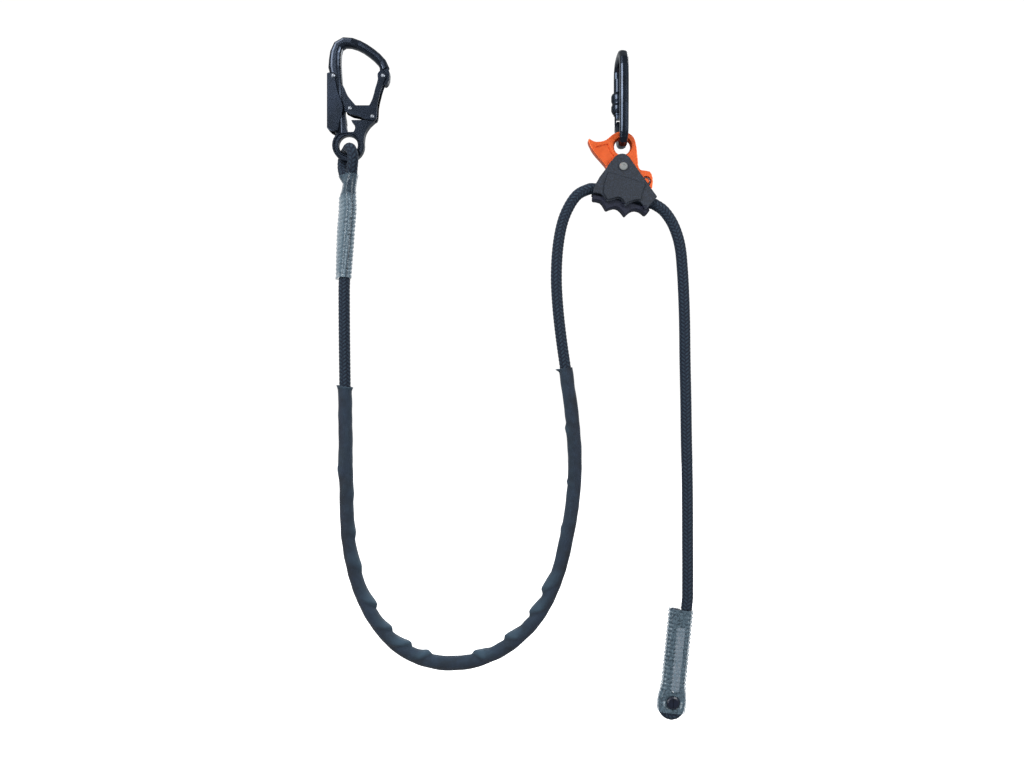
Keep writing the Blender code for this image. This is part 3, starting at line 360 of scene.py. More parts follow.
TAIL_ROUTE = [(0.02814, 0.0, -0.15734), (0.03564, 0.0, -0.15968), (0.0456, 0.0, -0.1666),
              (0.0546, 0.0, -0.1790), (0.0608, 0.0, -0.1940), (0.0644, 0.0, -0.2100),
              (0.0664, 0.0, -0.2320), (0.0678, 0.0, -0.2580), (0.0688, 0.0, -0.2900),
              (0.0693, 0.0, -0.3310), (0.0702, 0.0, -0.3750), (0.0708, 0.0, -0.4190),
              (0.0716, 0.0, -0.4540), (0.0720, 0.0, -0.4900), (0.0721, 0.0, -0.5300),
              (0.0722, 0.0, -0.5600), (0.0721, 0.0, -0.5926), (0.07087, 0.0, -0.6045)]
ROPE_RADIUS = 6.0 * MM
# In the sewn eyes the rope is pressed a little thinner, and each of the two strands lies this far from
# the middle between them.
SEWN_RADIUS = 5.7 * MM
STRAND_OFFSET = 5.9 * MM
# The middle of the hook's ring, the middle of the tail's plug, and how far the tail eye leans.
HOOK_RING = Vector((-0.3006, 0.0, -0.0956))
TAIL_EYE = Vector((0.0547, 0.0, -0.7053))
TAIL_LEAN = math.radians(5.8)

# The sheath: eight bundles run each way, and each way's next bundle is 4.2 mm further along.
BUNDLES = 8
BUNDLE_PITCH = 4.2 * MM
BUNDLE_RELIEF = 0.55 * MM
# The relief that lies at the rope's own radius, how full a bundle is across and along, and how low it
# runs where it dives under.
RELIEF_LEVEL = 0.6
BUNDLE_CROWN = 0.6
BUNDLE_HUMP = 0.5
DIVE_HEIGHT = 0.35
ROPE_SIDES = 56
FINE_STEP = 0.75 * MM
CURVE_STEPS = 16


def smooth_path(route, step):
    """Even steps along a smooth curve through the route."""
    points = [np.array(point, float) for point in route]
    dense = []
    for index in range(len(points) - 1):
        a = points[max(index - 1, 0)]
        b = points[index]
        c = points[index + 1]
        d = points[min(index + 2, len(points) - 1)]
        for t in np.linspace(0.0, 1.0, CURVE_STEPS, endpoint=False):
            dense.append(0.5 * (2 * b + (c - a) * t + (2 * a - 5 * b + 4 * c - d) * t ** 2
                                + (3 * b - a - 3 * c + d) * t ** 3))
    dense.append(points[-1])
    dense = np.array(dense)
    lengths = np.concatenate([[0.0], np.cumsum(np.linalg.norm(np.diff(dense, axis=0), axis=1))])
    count = max(round(lengths[-1] / step), 1)
    places = np.linspace(0.0, lengths[-1], count + 1)
    return np.stack([np.interp(places, lengths, dense[:, axis]) for axis in range(3)], axis=1)


def stations_of(path):
    """How far along the path each point is."""
    return np.concatenate([[0.0], np.cumsum(np.linalg.norm(np.diff(path, axis=0), axis=1))])


def frames_of(path, start=(0.0, -1.0, 0.0)):
    """Travel, side and third directions along the path, turned as little as they can be."""
    travel = np.gradient(path, axis=0)
    travel /= np.linalg.norm(travel, axis=1)[:, None]
    side = np.zeros_like(path)
    current = np.array(start, float)
    for index, direction in enumerate(travel):
        current = current - direction * np.dot(current, direction)
        current /= np.linalg.norm(current)
        side[index] = current
    return travel, side, np.cross(travel, side)


def skin(name, rings, closed_ends=True):
    """A mesh over rings of points, given as an array of rings by sides by three."""
    count, sides = rings.shape[:2]
    ring = np.arange(count - 1)[:, None] * sides
    corner = np.arange(sides)[None, :]
    after = (corner + 1) % sides
    faces = np.stack([ring + corner, ring + after, ring + sides + after, ring + sides + corner], axis=-1)
    faces = faces.reshape(-1, 4).tolist()
    if closed_ends:
        faces.append(list(range(sides))[::-1])
        faces.append(list(range((count - 1) * sides, count * sides)))
    mesh = bpy.data.meshes.new(name)
    mesh.from_pydata(rings.reshape(-1, 3).tolist(), [], faces)
    mesh.update()
    mesh.shade_smooth()
    return mesh


def add_flat_map(mesh, name, around, along):
    """A flat map of a tube, in millimetres round it and along it, from values of its corners."""
    layer = mesh.uv_layers.new(name=name)
    corner = np.zeros(len(mesh.loops), np.int32)
    mesh.loops.foreach_get("vertex_index", corner)
    flat = np.stack([around[corner], along[corner]], axis=1).astype(np.float32)
    layer.data.foreach_set("uv", flat.ravel())


def bundle_height(around, along):
    """The sheath's relief, 0 to 1. Bundles cross in two-over, two-under order, which makes chevrons."""
    first = BUNDLES * around + along / BUNDLE_PITCH
    second = BUNDLES * around - along / BUNDLE_PITCH
    first_number, second_number = np.floor(first), np.floor(second)
    first_part, second_part = first - first_number, second - second_number
    turn = np.mod(first_number + second_number, 4)
    on_top = turn < 2
    across = np.where(on_top, first_part, second_part) - 0.5
    travelled = np.where(on_top, turn + second_part, turn - 2 + first_part) / 2
    crown = np.clip(np.cos(np.pi * across), 0.0, 1.0) ** BUNDLE_CROWN
    hump = np.clip(np.sin(np.pi * travelled), 0.0, 1.0) ** BUNDLE_HUMP
    return crown * (DIVE_HEIGHT + (1.0 - DIVE_HEIGHT) * hump)


def braided_rope(name, path, radius, start_along=0.0):
    """A length of rope whose sheath stands out in its bundles."""
    _, side, third = frames_of(path)
    along = stations_of(path) + start_along
    around = np.linspace(0.0, 1.0, ROPE_SIDES, endpoint=False)
    height = bundle_height(around[None, :], along[:, None])
    reach = radius + BUNDLE_RELIEF * (height - RELIEF_LEVEL)
    angle = 2 * np.pi * around[None, :, None]
    offset = side[:, None, :] * np.cos(angle) + third[:, None, :] * np.sin(angle)
    rings = path[:, None, :] + offset * reach[:, :, None]
    mesh = skin(name, rings)
    bundle = mesh.attributes.new("bundle", "FLOAT", "POINT")
    bundle.data.foreach_set("value", height.ravel().astype(np.float32))
    wide = np.broadcast_to(around[None, :] * 2 * np.pi * radius / MM, height.shape).ravel()
    tall = np.broadcast_to(along[:, None] / MM, height.shape).ravel()
    add_flat_map(mesh, "braid", wide, tall)
    mesh.materials.append(SHEATH)
    return place_piece(name, mesh)


def place_piece(name, mesh, body="lanyard"):
    """An object for the mesh, riding on its body."""
    piece = bpy.data.objects.new(name, mesh)
    scene.collection.objects.link(piece)
    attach(piece, body)
    return piece


def even_steps(start, end, step):
    """Points along a straight line, without its end."""
    count = max(round(math.dist(start, end) / step), 1)
    return np.linspace(start, end, count, endpoint=False)


def straight_ended(route, step):
    """A smooth path whose first and last spans stay straight, as the rope's own solids have them."""
    middle = smooth_path(route[1:-1], step)
    first = even_steps(route[0], route[1], step)
    last = even_steps(route[-1], route[-2], step)[::-1]
    return np.concatenate([first, middle, last])


# The long stretch is braided in full only where the wear sleeve leaves it bare.
SLEEVE_START = 118.0 * MM
SLEEVE_LENGTH = 756.0 * MM
HIDDEN_STEP = 6.0 * MM
BRAID_INSIDE_CUFF = 12.0 * MM


def long_stretch_path():
    """The long stretch's path, in fine steps where it is bare and coarse ones inside the sleeve."""
    fine = straight_ended(LONG_ROUTE, FINE_STEP)
    along = stations_of(fine)
    first = SLEEVE_START + BRAID_INSIDE_CUFF
    last = SLEEVE_START + SLEEVE_LENGTH - BRAID_INSIDE_CUFF
    hidden = (along > first) & (along < last)
    every = max(round(HIDDEN_STEP / FINE_STEP), 1)
    kept = ~hidden | (np.arange(len(fine)) % every == 0)
    return fine[kept]


long_path = long_stretch_path()
long_stretch = braided_rope("long_rope_stretch", long_path, ROPE_RADIUS)
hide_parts("rope_long_stretch")
LONG_LENGTH = stations_of(long_path)[-1]
print("long stretch", round(LONG_LENGTH, 4), "m")

inner_path = straight_ended(INNER_ROUTE, FINE_STEP)
inner_rope = braided_rope("rope_inside_adjuster", inner_path, ROPE_RADIUS, LONG_LENGTH)
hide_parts("rope_in_adjuster")
INNER_LENGTH = stations_of(inner_path)[-1]

tail_path = straight_ended(TAIL_ROUTE, FINE_STEP)
tail_rope = braided_rope("rope_tail_stretch", tail_path, ROPE_RADIUS, LONG_LENGTH + INNER_LENGTH)
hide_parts("rope_tail")


# Sewn eyes

# The two strands at the hook, in millimetres: Z from the ring's centre, and the X of the front strand
# and of the rear one. They lie nearly in line just under the ring, which draws the sleeve in there.
EYE_STRANDS = [(-33.0, 4.2, -4.6), (-40.2, 3.2, -0.6), (-48.2, 2.1, -1.9), (-56.2, 2.0, -4.3),
               (-70.2, 2.3, -4.7), (-92.2, 0.5, -6.5), (-120.0, -1.4, -7.6), (-146.3, -3.4, -8.2)]
# The rope's way up behind the ring, through it on the slant, and down in front.
EYE_LOOP = [(-7.6, 7.8, -26.5), (-8.8, 9.9, -19.5), (-8.6, 10.9, -13.0), (-6.9, 9.9, -7.4),
            (-4.6, 7.6, -4.9), (-2.6, 4.6, -3.9), (-0.6, 0.0, -3.6), (1.4, -4.6, -3.9),
            (3.4, -7.6, -4.9), (5.4, -9.9, -7.4), (7.0, -10.9, -13.0), (6.8, -9.9, -19.5),
            (5.6, -7.8, -26.5)]


# The rear strand ends this much higher than the front one, in millimetres.
REAR_STRAND_SHORTER = 8.0


def eye_pair(height):
    """The middle of the hook's two strands at a height, and the front strand's offset from it."""
    heights = [-station[0] for station in EYE_STRANDS]
    front = float(np.interp(-height, heights, [station[1] for station in EYE_STRANDS]))
    rear = float(np.interp(-height, heights, [station[2] for station in EYE_STRANDS]))
    half = (front - rear) / 2
    depth = math.sqrt((STRAND_OFFSET / MM) ** 2 - half ** 2)
    return Vector(((front + rear) / 2, 0.0, height)), Vector((half, -depth, 0.0))


def hook_eye_route():
    """Up the rear strand, through the hook's ring and down the front strand, in millimetres."""
    pairs = [eye_pair(station[0]) for station in EYE_STRANDS]
    rear = [tuple(middle - offset) for middle, offset in reversed(pairs)]
    x, y, z = rear[0]
    rear[0] = (x, y, z + REAR_STRAND_SHORTER)
    return [*rear, *EYE_LOOP, *(tuple(middle + offset) for middle, offset in pairs)]


hook_path = smooth_path([tuple(HOOK_RING + Vector(point) * MM) for point in hook_eye_route()], FINE_STEP)
hook_eye = braided_rope("hook_eye_rope", hook_path, SEWN_RADIUS)
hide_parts("rope_hook_eye")


def on_tail(point):
    """A point of the tail eye's own upright drawing, in millimetres, as it hangs."""
    x, y, z = point
    return Vector((TAIL_EYE.x + (x * math.cos(TAIL_LEAN) + z * math.sin(TAIL_LEAN)) * MM,
                   TAIL_EYE.y + y * MM,
                   TAIL_EYE.z + (z * math.cos(TAIL_LEAN) - x * math.sin(TAIL_LEAN)) * MM))


# The tail eye, in millimetres from the plug: half the distance between its strands at the seam, at the
# throat over the plug and beside the plug, and the height of each strand's top, of the throat and of the
# middle of the turn below the plug.
SEAM_HALF = STRAND_OFFSET / MM
THROAT_HALF = 6.9
PLUG_HALF = 8.6
RIGHT_STRAND_TOP = 101.6
LEFT_STRAND_TOP = 100.0
THROAT_HEIGHT = 12.0
TURN_HEIGHT = -6.6
TURN_STEPS = 8


def tail_eye_route():
    """Down the right strand, round the plug and up the left one, in millimetres."""
    route = [(SEAM_HALF, 0.0, RIGHT_STRAND_TOP), (SEAM_HALF, 0.0, 80.0), (SEAM_HALF, 0.0, 50.0),
             (SEAM_HALF, 0.0, 20.0), (THROAT_HALF, 0.0, THROAT_HEIGHT), (PLUG_HALF, 0.0, 3.0),
             (PLUG_HALF, 0.0, -4.0)]
    down = len(route)
    for step in range(1, TURN_STEPS):
        angle = math.radians(180 * step / TURN_STEPS)
        route.append((PLUG_HALF * math.cos(angle), 0.0, TURN_HEIGHT - PLUG_HALF * math.sin(angle)))
    route += [(-x, y, z) for x, y, z in reversed(route[:down])]
    route[-1] = (-SEAM_HALF, 0.0, LEFT_STRAND_TOP)
    return route


tail_eye_path = smooth_path([tuple(on_tail(point)) for point in tail_eye_route()], FINE_STEP)
tail_eye = braided_rope("tail_eye_rope", tail_eye_path, SEWN_RADIUS)
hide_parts("rope_tail_eye")


# Wear sleeve

# Folds of the woven tube, as (distance from the sleeve's start, side, height, rise, fall, drift) in
# millimetres. Side is 1 inside the bend and -1 outside it. A crest drifts along as it goes round.
FOLDS = [(92.0, -1, 1.6, 24.0, 14.0, 9.0), (119.0, 1, 0.8, 12.0, 8.0, 5.0),
         (161.0, 1, 1.3, 14.0, 7.0, 5.0), (200.0, 1, 1.8, 22.0, 8.0, 7.0),
         (248.0, 1, 3.8, 24.0, 4.0, 9.0), (281.0, 1, 3.2, 18.0, 4.0, 8.0),
         (311.0, 1, 4.2, 20.0, 3.5, 10.0), (336.0, 1, 3.2, 12.0, 5.0, 7.0),
         (391.0, 1, 3.4, 4.0, 16.0, -7.0), (433.0, 1, 4.0, 4.0, 18.0, -8.0),
         (474.0, 1, 3.8, 4.0, 18.0, -8.0), (504.0, 1, 3.6, 4.5, 20.0, -8.0),
         (578.0, 1, 0.9, 8.0, 5.0, 4.0), (630.0, 1, 1.4, 4.0, 3.5, 2.0),
         (690.0, 1, 1.6, 9.0, 5.0, 4.0)]
# A fold climbs to its crest and drops from it on these curves, and fades out this many radians round.
CLIMB_CURVE = 1.5
DROP_CURVE = 0.8
FOLD_SPREAD = 1.15
# The crease lies on a fold's steep side, that side's length times CREASE_LEE from the crest, and is
# deepest CREASE_TURN radians round from it. A fold of FULL_FOLD or more has a crease of full depth.
CREASE_DEPTH = 1.3
CREASE_WIDTH = 3.2
CREASE_LEE = 1.5
CREASE_TURN = 1.3
CREASE_SPREAD = 0.9
FULL_FOLD = 3.0
SLEEVE_RADIUS = 7.6
SLEEVE_WALL = 0.5
SLEEVE_LEAST = 6.9
WAVINESS = 0.55
WAVES_ROUND = 1.2
WAVE_LENGTH = 13.0
SOFTENING = 2
SLEEVE_SIDES = 48
# The first cuff flares and is cut on a slant. The last one has a lip on the inside of the bend.
CUFF_FLARE = 1.5
CUFF_LENGTH = 5.0
CUFF_CURVE = 1.5
CUFF_SLANT = 1.4
SLANT_LENGTH = 12.0
FAR_LIP = 3.6
LIP_LENGTH = 2.2
LIP_NARROWNESS = 3
# Painted highlight: the cloth is painted palest where it stands this far out, and a little paler on the
# inside of the bend, as if lit there.
HIGHLIGHT_HEIGHT = 2.2
BEND_HIGHLIGHT = 0.18


def folded_radius(along, turn):
    """How far out the cloth lies at every place and turn: its folds, their creases and a slight waviness."""
    radius = np.full((len(along), len(turn)), SLEEVE_RADIUS)
    inner = np.minimum(turn, 2 * np.pi - turn)
    for place, side, height, rise, fall, drift in FOLDS:
        around = inner if side > 0 else np.pi - inner
        away = along[:, None] - (place - drift * around)[None, :]
        before = np.clip(1.0 + away / rise, 0.0, 1.0) ** CLIMB_CURVE
        after = np.clip(1.0 - away / fall, 0.0, 1.0) ** DROP_CURVE
        near = np.where(away < 0, before, after)
        radius += height * near * np.exp(-(around / FOLD_SPREAD) ** 2)[None, :]
        lee = fall if fall < rise else -rise
        crease = np.exp(-((away - CREASE_LEE * lee) / CREASE_WIDTH) ** 2)
        deepest = CREASE_DEPTH * min(height / FULL_FOLD, 1.0)
        depth = deepest * np.exp(-((around - CREASE_TURN) / CREASE_SPREAD) ** 2)
        radius -= crease * depth[None, :]
    for row in range(len(along)):
        for column in range(len(turn)):
            spot = Vector((math.cos(turn[column]) * WAVES_ROUND, math.sin(turn[column]) * WAVES_ROUND,
                           along[row] / WAVE_LENGTH))
            radius[row, column] += WAVINESS * noise.noise(spot)
    for _ in range(SOFTENING):
        radius[1:-1] = (radius[:-2] + 2 * radius[1:-1] + radius[2:]) / 4
    return np.maximum(radius, SLEEVE_LEAST)


def add_cuffs(radius, along, turn):
    """Open out the first cuff, and turn up the last one's lip."""
    flare = np.clip(1.0 - along[:, None] / CUFF_LENGTH, 0.0, 1.0) ** CUFF_CURVE
    radius += CUFF_FLARE * flare
    to_end = (along[-1] - along)[:, None]
    inside = np.clip(np.cos(turn), 0.0, 1.0) ** LIP_NARROWNESS
    radius += FAR_LIP * np.exp(-(to_end / LIP_LENGTH) ** 2) * inside[None, :]


def wear_sleeve_mesh():
    """The loose woven tube, with its folds, its creases and its cuffs."""
    fine = straight_ended(LONG_ROUTE, 1.0 * MM)
    first = round(SLEEVE_START / MM)
    path = fine[first:first + round(SLEEVE_LENGTH / MM) + 1]
    travel, _, _ = frames_of(path)
    inward = np.stack([-travel[:, 2], np.zeros(len(path)), travel[:, 0]], axis=1)
    across = np.cross(travel, inward)
    along = stations_of(path) / MM
    turn = np.linspace(0.0, 2 * np.pi, SLEEVE_SIDES, endpoint=False)
    radius = folded_radius(along, turn)
    add_cuffs(radius, along, turn)
    offset = (inward[:, None, :] * np.cos(turn)[None, :, None]
              + across[:, None, :] * np.sin(turn)[None, :, None])
    rings = path[:, None, :] + offset * radius[:, :, None] * MM
    slant = CUFF_SLANT * np.clip(1.0 - along / SLANT_LENGTH, 0.0, 1.0)[:, None] * np.cos(turn)[None, :]
    rings += travel[:, None, :] * slant[:, :, None] * MM
    mesh = skin("wear_sleeve_cloth", rings, closed_ends=False)
    wide = np.broadcast_to(turn[None, :] * SLEEVE_RADIUS, radius.shape).ravel()
    tall = np.broadcast_to(along[:, None], radius.shape).ravel()
    add_flat_map(mesh, "weave", wide, tall)
    # Painted highlight: paler where the folds stand out and on the inside of the bend.
    raised = np.clip((radius - SLEEVE_RADIUS) / HIGHLIGHT_HEIGHT, 0.0, 1.0)
    highlight_paint = np.clip(raised + BEND_HIGHLIGHT * (1.0 + np.cos(turn))[None, :], 0.0, 1.0)
    painted_highlight = mesh.attributes.new("painted_highlight", "FLOAT", "POINT")
    painted_highlight.data.foreach_set("value", highlight_paint.ravel().astype(np.float32))
    mesh.materials.append(WEAR_TUBE)
    return mesh


def thicken(piece, wall_mm):
    """A wall inward from the skin, the same on every side."""
    modifier = piece.modifiers.new("wall", "SOLIDIFY")
    modifier.thickness = wall_mm * MM
    modifier.offset = -1.0


wear_sleeve = place_piece("wear_sleeve_cloth", wear_sleeve_mesh())
thicken(wear_sleeve, SLEEVE_WALL)
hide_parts("wear_sleeve")


# Clear sleeves over the sewn eyes

# Where a film faces the front or the rear, a rib keeps FRONT_RIB of its height. A rib is paler than
# PLAIN_TONE by FRONT_CONTRAST all round, and by its film's own contrast more at the sides.
RIB_PITCH = 4.6
HOOK_RIB_HEIGHT = 0.35
TAIL_RIB_HEIGHT = 0.55
HOOK_RIB_CONTRAST = 0.08
TAIL_RIB_CONTRAST = 0.4
FRONT_CONTRAST = 0.04
FRONT_RIB = 0.2
PLAIN_TONE = 0.4
WINDOW_RADIUS = 7.3
WINDOW_DEPTH = 40.0
WINDOW_SIDES = 48
FILM_RADIUS = 7.0
FILM_WALL = 0.4
FILM_SIDES = 48
FILM_RINGS = 160
FILM_LIP = 0.5
FILM_LIP_LENGTH = 3.0
# Over the groove between the strands the film lies this share lower.
FILM_DIP = 0.05
DIP_NARROWNESS = 6


def film_rings(stations, to_world, rib_height):
    """Rings round two strands side by side, ribbed at the sides and nearly smooth in front. A station is
    (half spacing, normal, middle, radius, rib). With each point comes how far it faces sideways."""
    rings, sidewards = [], []
    for apart, normal, middle, radius, rib in stations:
        sideways = apart.normalized()
        ring, shares = [], []
        for index in range(FILM_SIDES):
            turn = 2 * math.pi * index / FILM_SIDES
            end = 1.0 if math.cos(turn) >= 0 else -1.0
            waist = 1.0 - FILM_DIP * abs(math.sin(turn)) ** DIP_NARROWNESS
            offset = sideways * math.cos(turn) + normal * (math.sin(turn) * waist)
            share = min(offset.x ** 2, 1.0)
            reach = radius + rib_height * rib * (FRONT_RIB + (1.0 - FRONT_RIB) * share)
            ring.append(to_world(middle + apart * end + offset * reach))
            shares.append(share)
        rings.append(ring)
        sidewards.append(shares)
    return np.array(rings), np.array(sidewards)


def ripple(along, smooth_until):
    """The film's ripple over the rows of stitches, -1 to 1, and none before the rows start."""
    return math.sin(2 * math.pi * along / RIB_PITCH) if along >= smooth_until else 0.0


def lip(from_end):
    """How far the film's cut end turns out, at this distance from it."""
    return FILM_LIP * max(0.0, 1.0 - from_end / FILM_LIP_LENGTH)


def film_piece(name, material, stations, to_world, node, rib_height, rib_contrast, mark):
    """A clear film. Its rib value, 0 to 1, says how pale and dense it is: more on the ribs at the sides."""
    rings, sidewards = film_rings(stations, to_world, rib_height)
    mesh = skin(name, rings, closed_ends=False)
    ribs = np.array([station[4] for station in stations])[:, None]
    value = mark(PLAIN_TONE + ribs * (FRONT_CONTRAST + rib_contrast * sidewards))
    rib = mesh.attributes.new("rib", "FLOAT", "POINT")
    rib.data.foreach_set("value", np.clip(value, 0.0, 1.0).ravel().astype(np.float32))
    mesh.materials.append(material)
    piece = place_piece(name, mesh)
    thicken(piece, FILM_WALL)
    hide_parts(node)
    return piece


# The hook's film runs between these heights, in millimetres from the ring's centre. The ripples start
# this far from its top, and the rows of stitches fade in from SEWN_START on.
FILM_TOP = -32.5
FILM_FOOT = -146.0
HOOK_RIPPLE_START = 18.0
SEWN_START = 20.0
SEWN_FADE = 6.0
THIN_TOP = 0.35
# The needle line: its dots' spacing in millimetres, its width in radians, and how much darker it is.
NEEDLE_PITCH = 3.6
NEEDLE_WIDTH = 0.14
NEEDLE_DEPTH = 0.5
# The pale lines along the film, as (radians round from the front strand's outer side, width, how much
# paler): beside the needle line, and where the film leaves that strand.
PALE_LINES = [(0.36, 0.12, 0.35), (1.57, 0.14, 0.4)]


def hook_film():
    """The clear sleeve over the hook eye's seam, which follows its two strands."""
    stations = []
    for index in range(FILM_RINGS + 1):
        z = FILM_TOP + (FILM_FOOT - FILM_TOP) * index / FILM_RINGS
        middle, offset = eye_pair(z)
        normal = Vector((0.0, 0.0, 1.0)).cross(offset.normalized())
        rib = ripple(FILM_TOP - z, HOOK_RIPPLE_START)
        stations.append((offset, normal, middle, FILM_RADIUS + lip(z - FILM_FOOT), rib))
    return film_piece("hook_eye_clear_film", HOOK_FILM, stations, lambda p: tuple(HOOK_RING + p * MM),
                      "hook_eye_clear_sleeve", HOOK_RIB_HEIGHT, HOOK_RIB_CONTRAST, stitched_lines)


def line_along(turn, place, width):
    """A soft line along the film, 1 in its middle, at this turn round it."""
    return np.exp(-((turn - place) / width) ** 2)


def stitched_lines(value):
    """The needle line down the front strand, dark and dotted between two pale lines, a pale line where
    the film leaves that strand, and a thinner film over the first stretch."""
    turn = np.linspace(0.0, 2 * np.pi, FILM_SIDES, endpoint=False)
    round_front = np.minimum(turn, 2 * np.pi - turn)[None, :]
    along = np.linspace(0.0, FILM_TOP - FILM_FOOT, FILM_RINGS + 1)[:, None]
    dots = 0.5 + 0.5 * np.sin(2 * np.pi * along / NEEDLE_PITCH)
    sewn = np.clip((along - SEWN_START) / SEWN_FADE, 0.0, 1.0)
    value = value - NEEDLE_DEPTH * sewn * (1.0 - 0.5 * dots) * line_along(round_front, 0.0, NEEDLE_WIDTH)
    for place, width, paler in PALE_LINES:
        value = value + paler * sewn * line_along(round_front, place, width)
    return value - THIN_TOP * (1.0 - sewn)


def cut_window(piece):
    """Open the film round the plug, on both faces."""
    hole = bpy.data.meshes.new("window")
    shape = bmesh.new()
    bmesh.ops.create_cone(shape, cap_ends=True, segments=WINDOW_SIDES, radius1=WINDOW_RADIUS * MM,
                          radius2=WINDOW_RADIUS * MM, depth=WINDOW_DEPTH * MM)
    shape.to_mesh(hole)
    shape.free()
    cutter = bpy.data.objects.new("window", hole)
    cutter.location = TAIL_EYE
    cutter.rotation_euler = (math.radians(90), 0.0, 0.0)
    scene.collection.objects.link(cutter)
    cut = piece.modifiers.new("window", "BOOLEAN")
    cut.operation = "DIFFERENCE"
    cut.solver = "EXACT"
    cut.object = cutter
    bpy.context.view_layer.update()
    opened = bpy.data.meshes.new_from_object(piece.evaluated_get(bpy.context.evaluated_depsgraph_get()))
    piece.modifiers.clear()
    piece.data = opened
    bpy.data.objects.remove(cutter)


# The tail's film, as (height, half the distance between its strands) in millimetres from the plug.
TAIL_FILM_OUTLINE = [(-11.6, 8.2), (-4.0, PLUG_HALF), (3.0, PLUG_HALF), (THROAT_HEIGHT, THROAT_HALF),
                     (20.0, SEAM_HALF), (60.0, SEAM_HALF), (101.4, SEAM_HALF)]
# The ripples start this high above the plug. Under it a painted highlight makes the film paler and denser
# within this reach.
TAIL_RIPPLE_START = 12.0
UNDER_PLUG_HIGHLIGHT = 0.9
HIGHLIGHT_REACH = 11.0
HIGHLIGHT_FADE = 1.5
HIGHLIGHT_TOP = 1.5


def tail_film():
    """The clear sleeve over the tail eye's seam, down round the plug, with a window cut for it."""
    stations = []
    heights = [height for height, _ in TAIL_FILM_OUTLINE]
    halves = [half for _, half in TAIL_FILM_OUTLINE]
    for index in range(FILM_RINGS + 1):
        z = heights[0] + (heights[-1] - heights[0]) * index / FILM_RINGS
        half = float(np.interp(z, heights, halves))
        stations.append((Vector((half, 0.0, 0.0)), Vector((0.0, -1.0, 0.0)), Vector((0.0, 0.0, z)),
                         FILM_RADIUS + lip(heights[-1] - z), ripple(z, TAIL_RIPPLE_START)))
    columns = film_rings(stations, tuple, TAIL_RIB_HEIGHT)[0]

    def painted_highlight_under_plug(value):
        """A painted highlight: paler and denser in a patch under the plug."""
        reach = np.hypot(columns[:, :, 0], columns[:, :, 2])
        low = columns[:, :, 2] < HIGHLIGHT_TOP
        return value + UNDER_PLUG_HIGHLIGHT * np.clip((HIGHLIGHT_REACH - reach) / HIGHLIGHT_FADE, 0.0, 1.0) * low

    # The patch under the plug is a painted highlight.
    piece = film_piece("tail_eye_clear_film", TAIL_FILM, stations, on_tail, "tail_eye_clear_sleeve",
                       TAIL_RIB_HEIGHT, TAIL_RIB_CONTRAST, painted_highlight_under_plug)
    cut_window(piece)
    return piece


hook_film()
tail_sleeve = tail_film()


# Label

LABEL_LEFT = -4.4
LABEL_RIGHT = 5.4
LABEL_LOW = 12.0
LABEL_HIGH = 82.0
LABEL_FACE = -6.1
LABEL_COLUMNS = 9
LABEL_ROW = 0.5
LABEL_WAVE = 0.8
LABEL_DENT = 0.1
LABEL_THICKNESS = 0.2


def label_tape():
    """The bare strip under the film, its left edge drawn in between the ribs."""
    rows = int((LABEL_HIGH - LABEL_LOW) / LABEL_ROW) + 1
    vertices = []
    for row in range(rows):
        z = LABEL_LOW + (LABEL_HIGH - LABEL_LOW) * row / (rows - 1)
        rib = math.sin(2 * math.pi * z / RIB_PITCH)
        left = LABEL_LEFT + LABEL_WAVE * (1.0 - rib)
        for column in range(LABEL_COLUMNS):
            x = left + (LABEL_RIGHT - left) * column / (LABEL_COLUMNS - 1)
            vertices.append(tuple(on_tail((x, LABEL_FACE - LABEL_DENT * rib, z))))
    faces = []
    for row in range(rows - 1):
        for column in range(LABEL_COLUMNS - 1):
            low = row * LABEL_COLUMNS + column
            faces.append((low, low + 1, low + LABEL_COLUMNS + 1, low + LABEL_COLUMNS))
    mesh = bpy.data.meshes.new("label_tape")
    mesh.from_pydata(vertices, [], faces)
    mesh.update()
    mesh.shade_smooth()
    mesh.materials.append(TAPE)
    piece = place_piece("label_tape", mesh)
    thicken(piece, LABEL_THICKNESS)
    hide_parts("tail_eye_label")
    return piece


tail_label = label_tape()


# Seam thread in the groove between the strands

# In millimetres: a stitch spans most of its length of seam, lies on a slant and arches outward. It
# narrows towards its ends, by a share of its section.
STITCH_LENGTH = 3.6
STITCH_SPAN = 0.9
STITCH_SLANT = 1.4
STITCH_ARCH = 0.5
STITCH_RADIUS = 0.75
STITCH_TAPER = 0.6
STITCH_SIDES = 8
STITCH_RINGS = 7


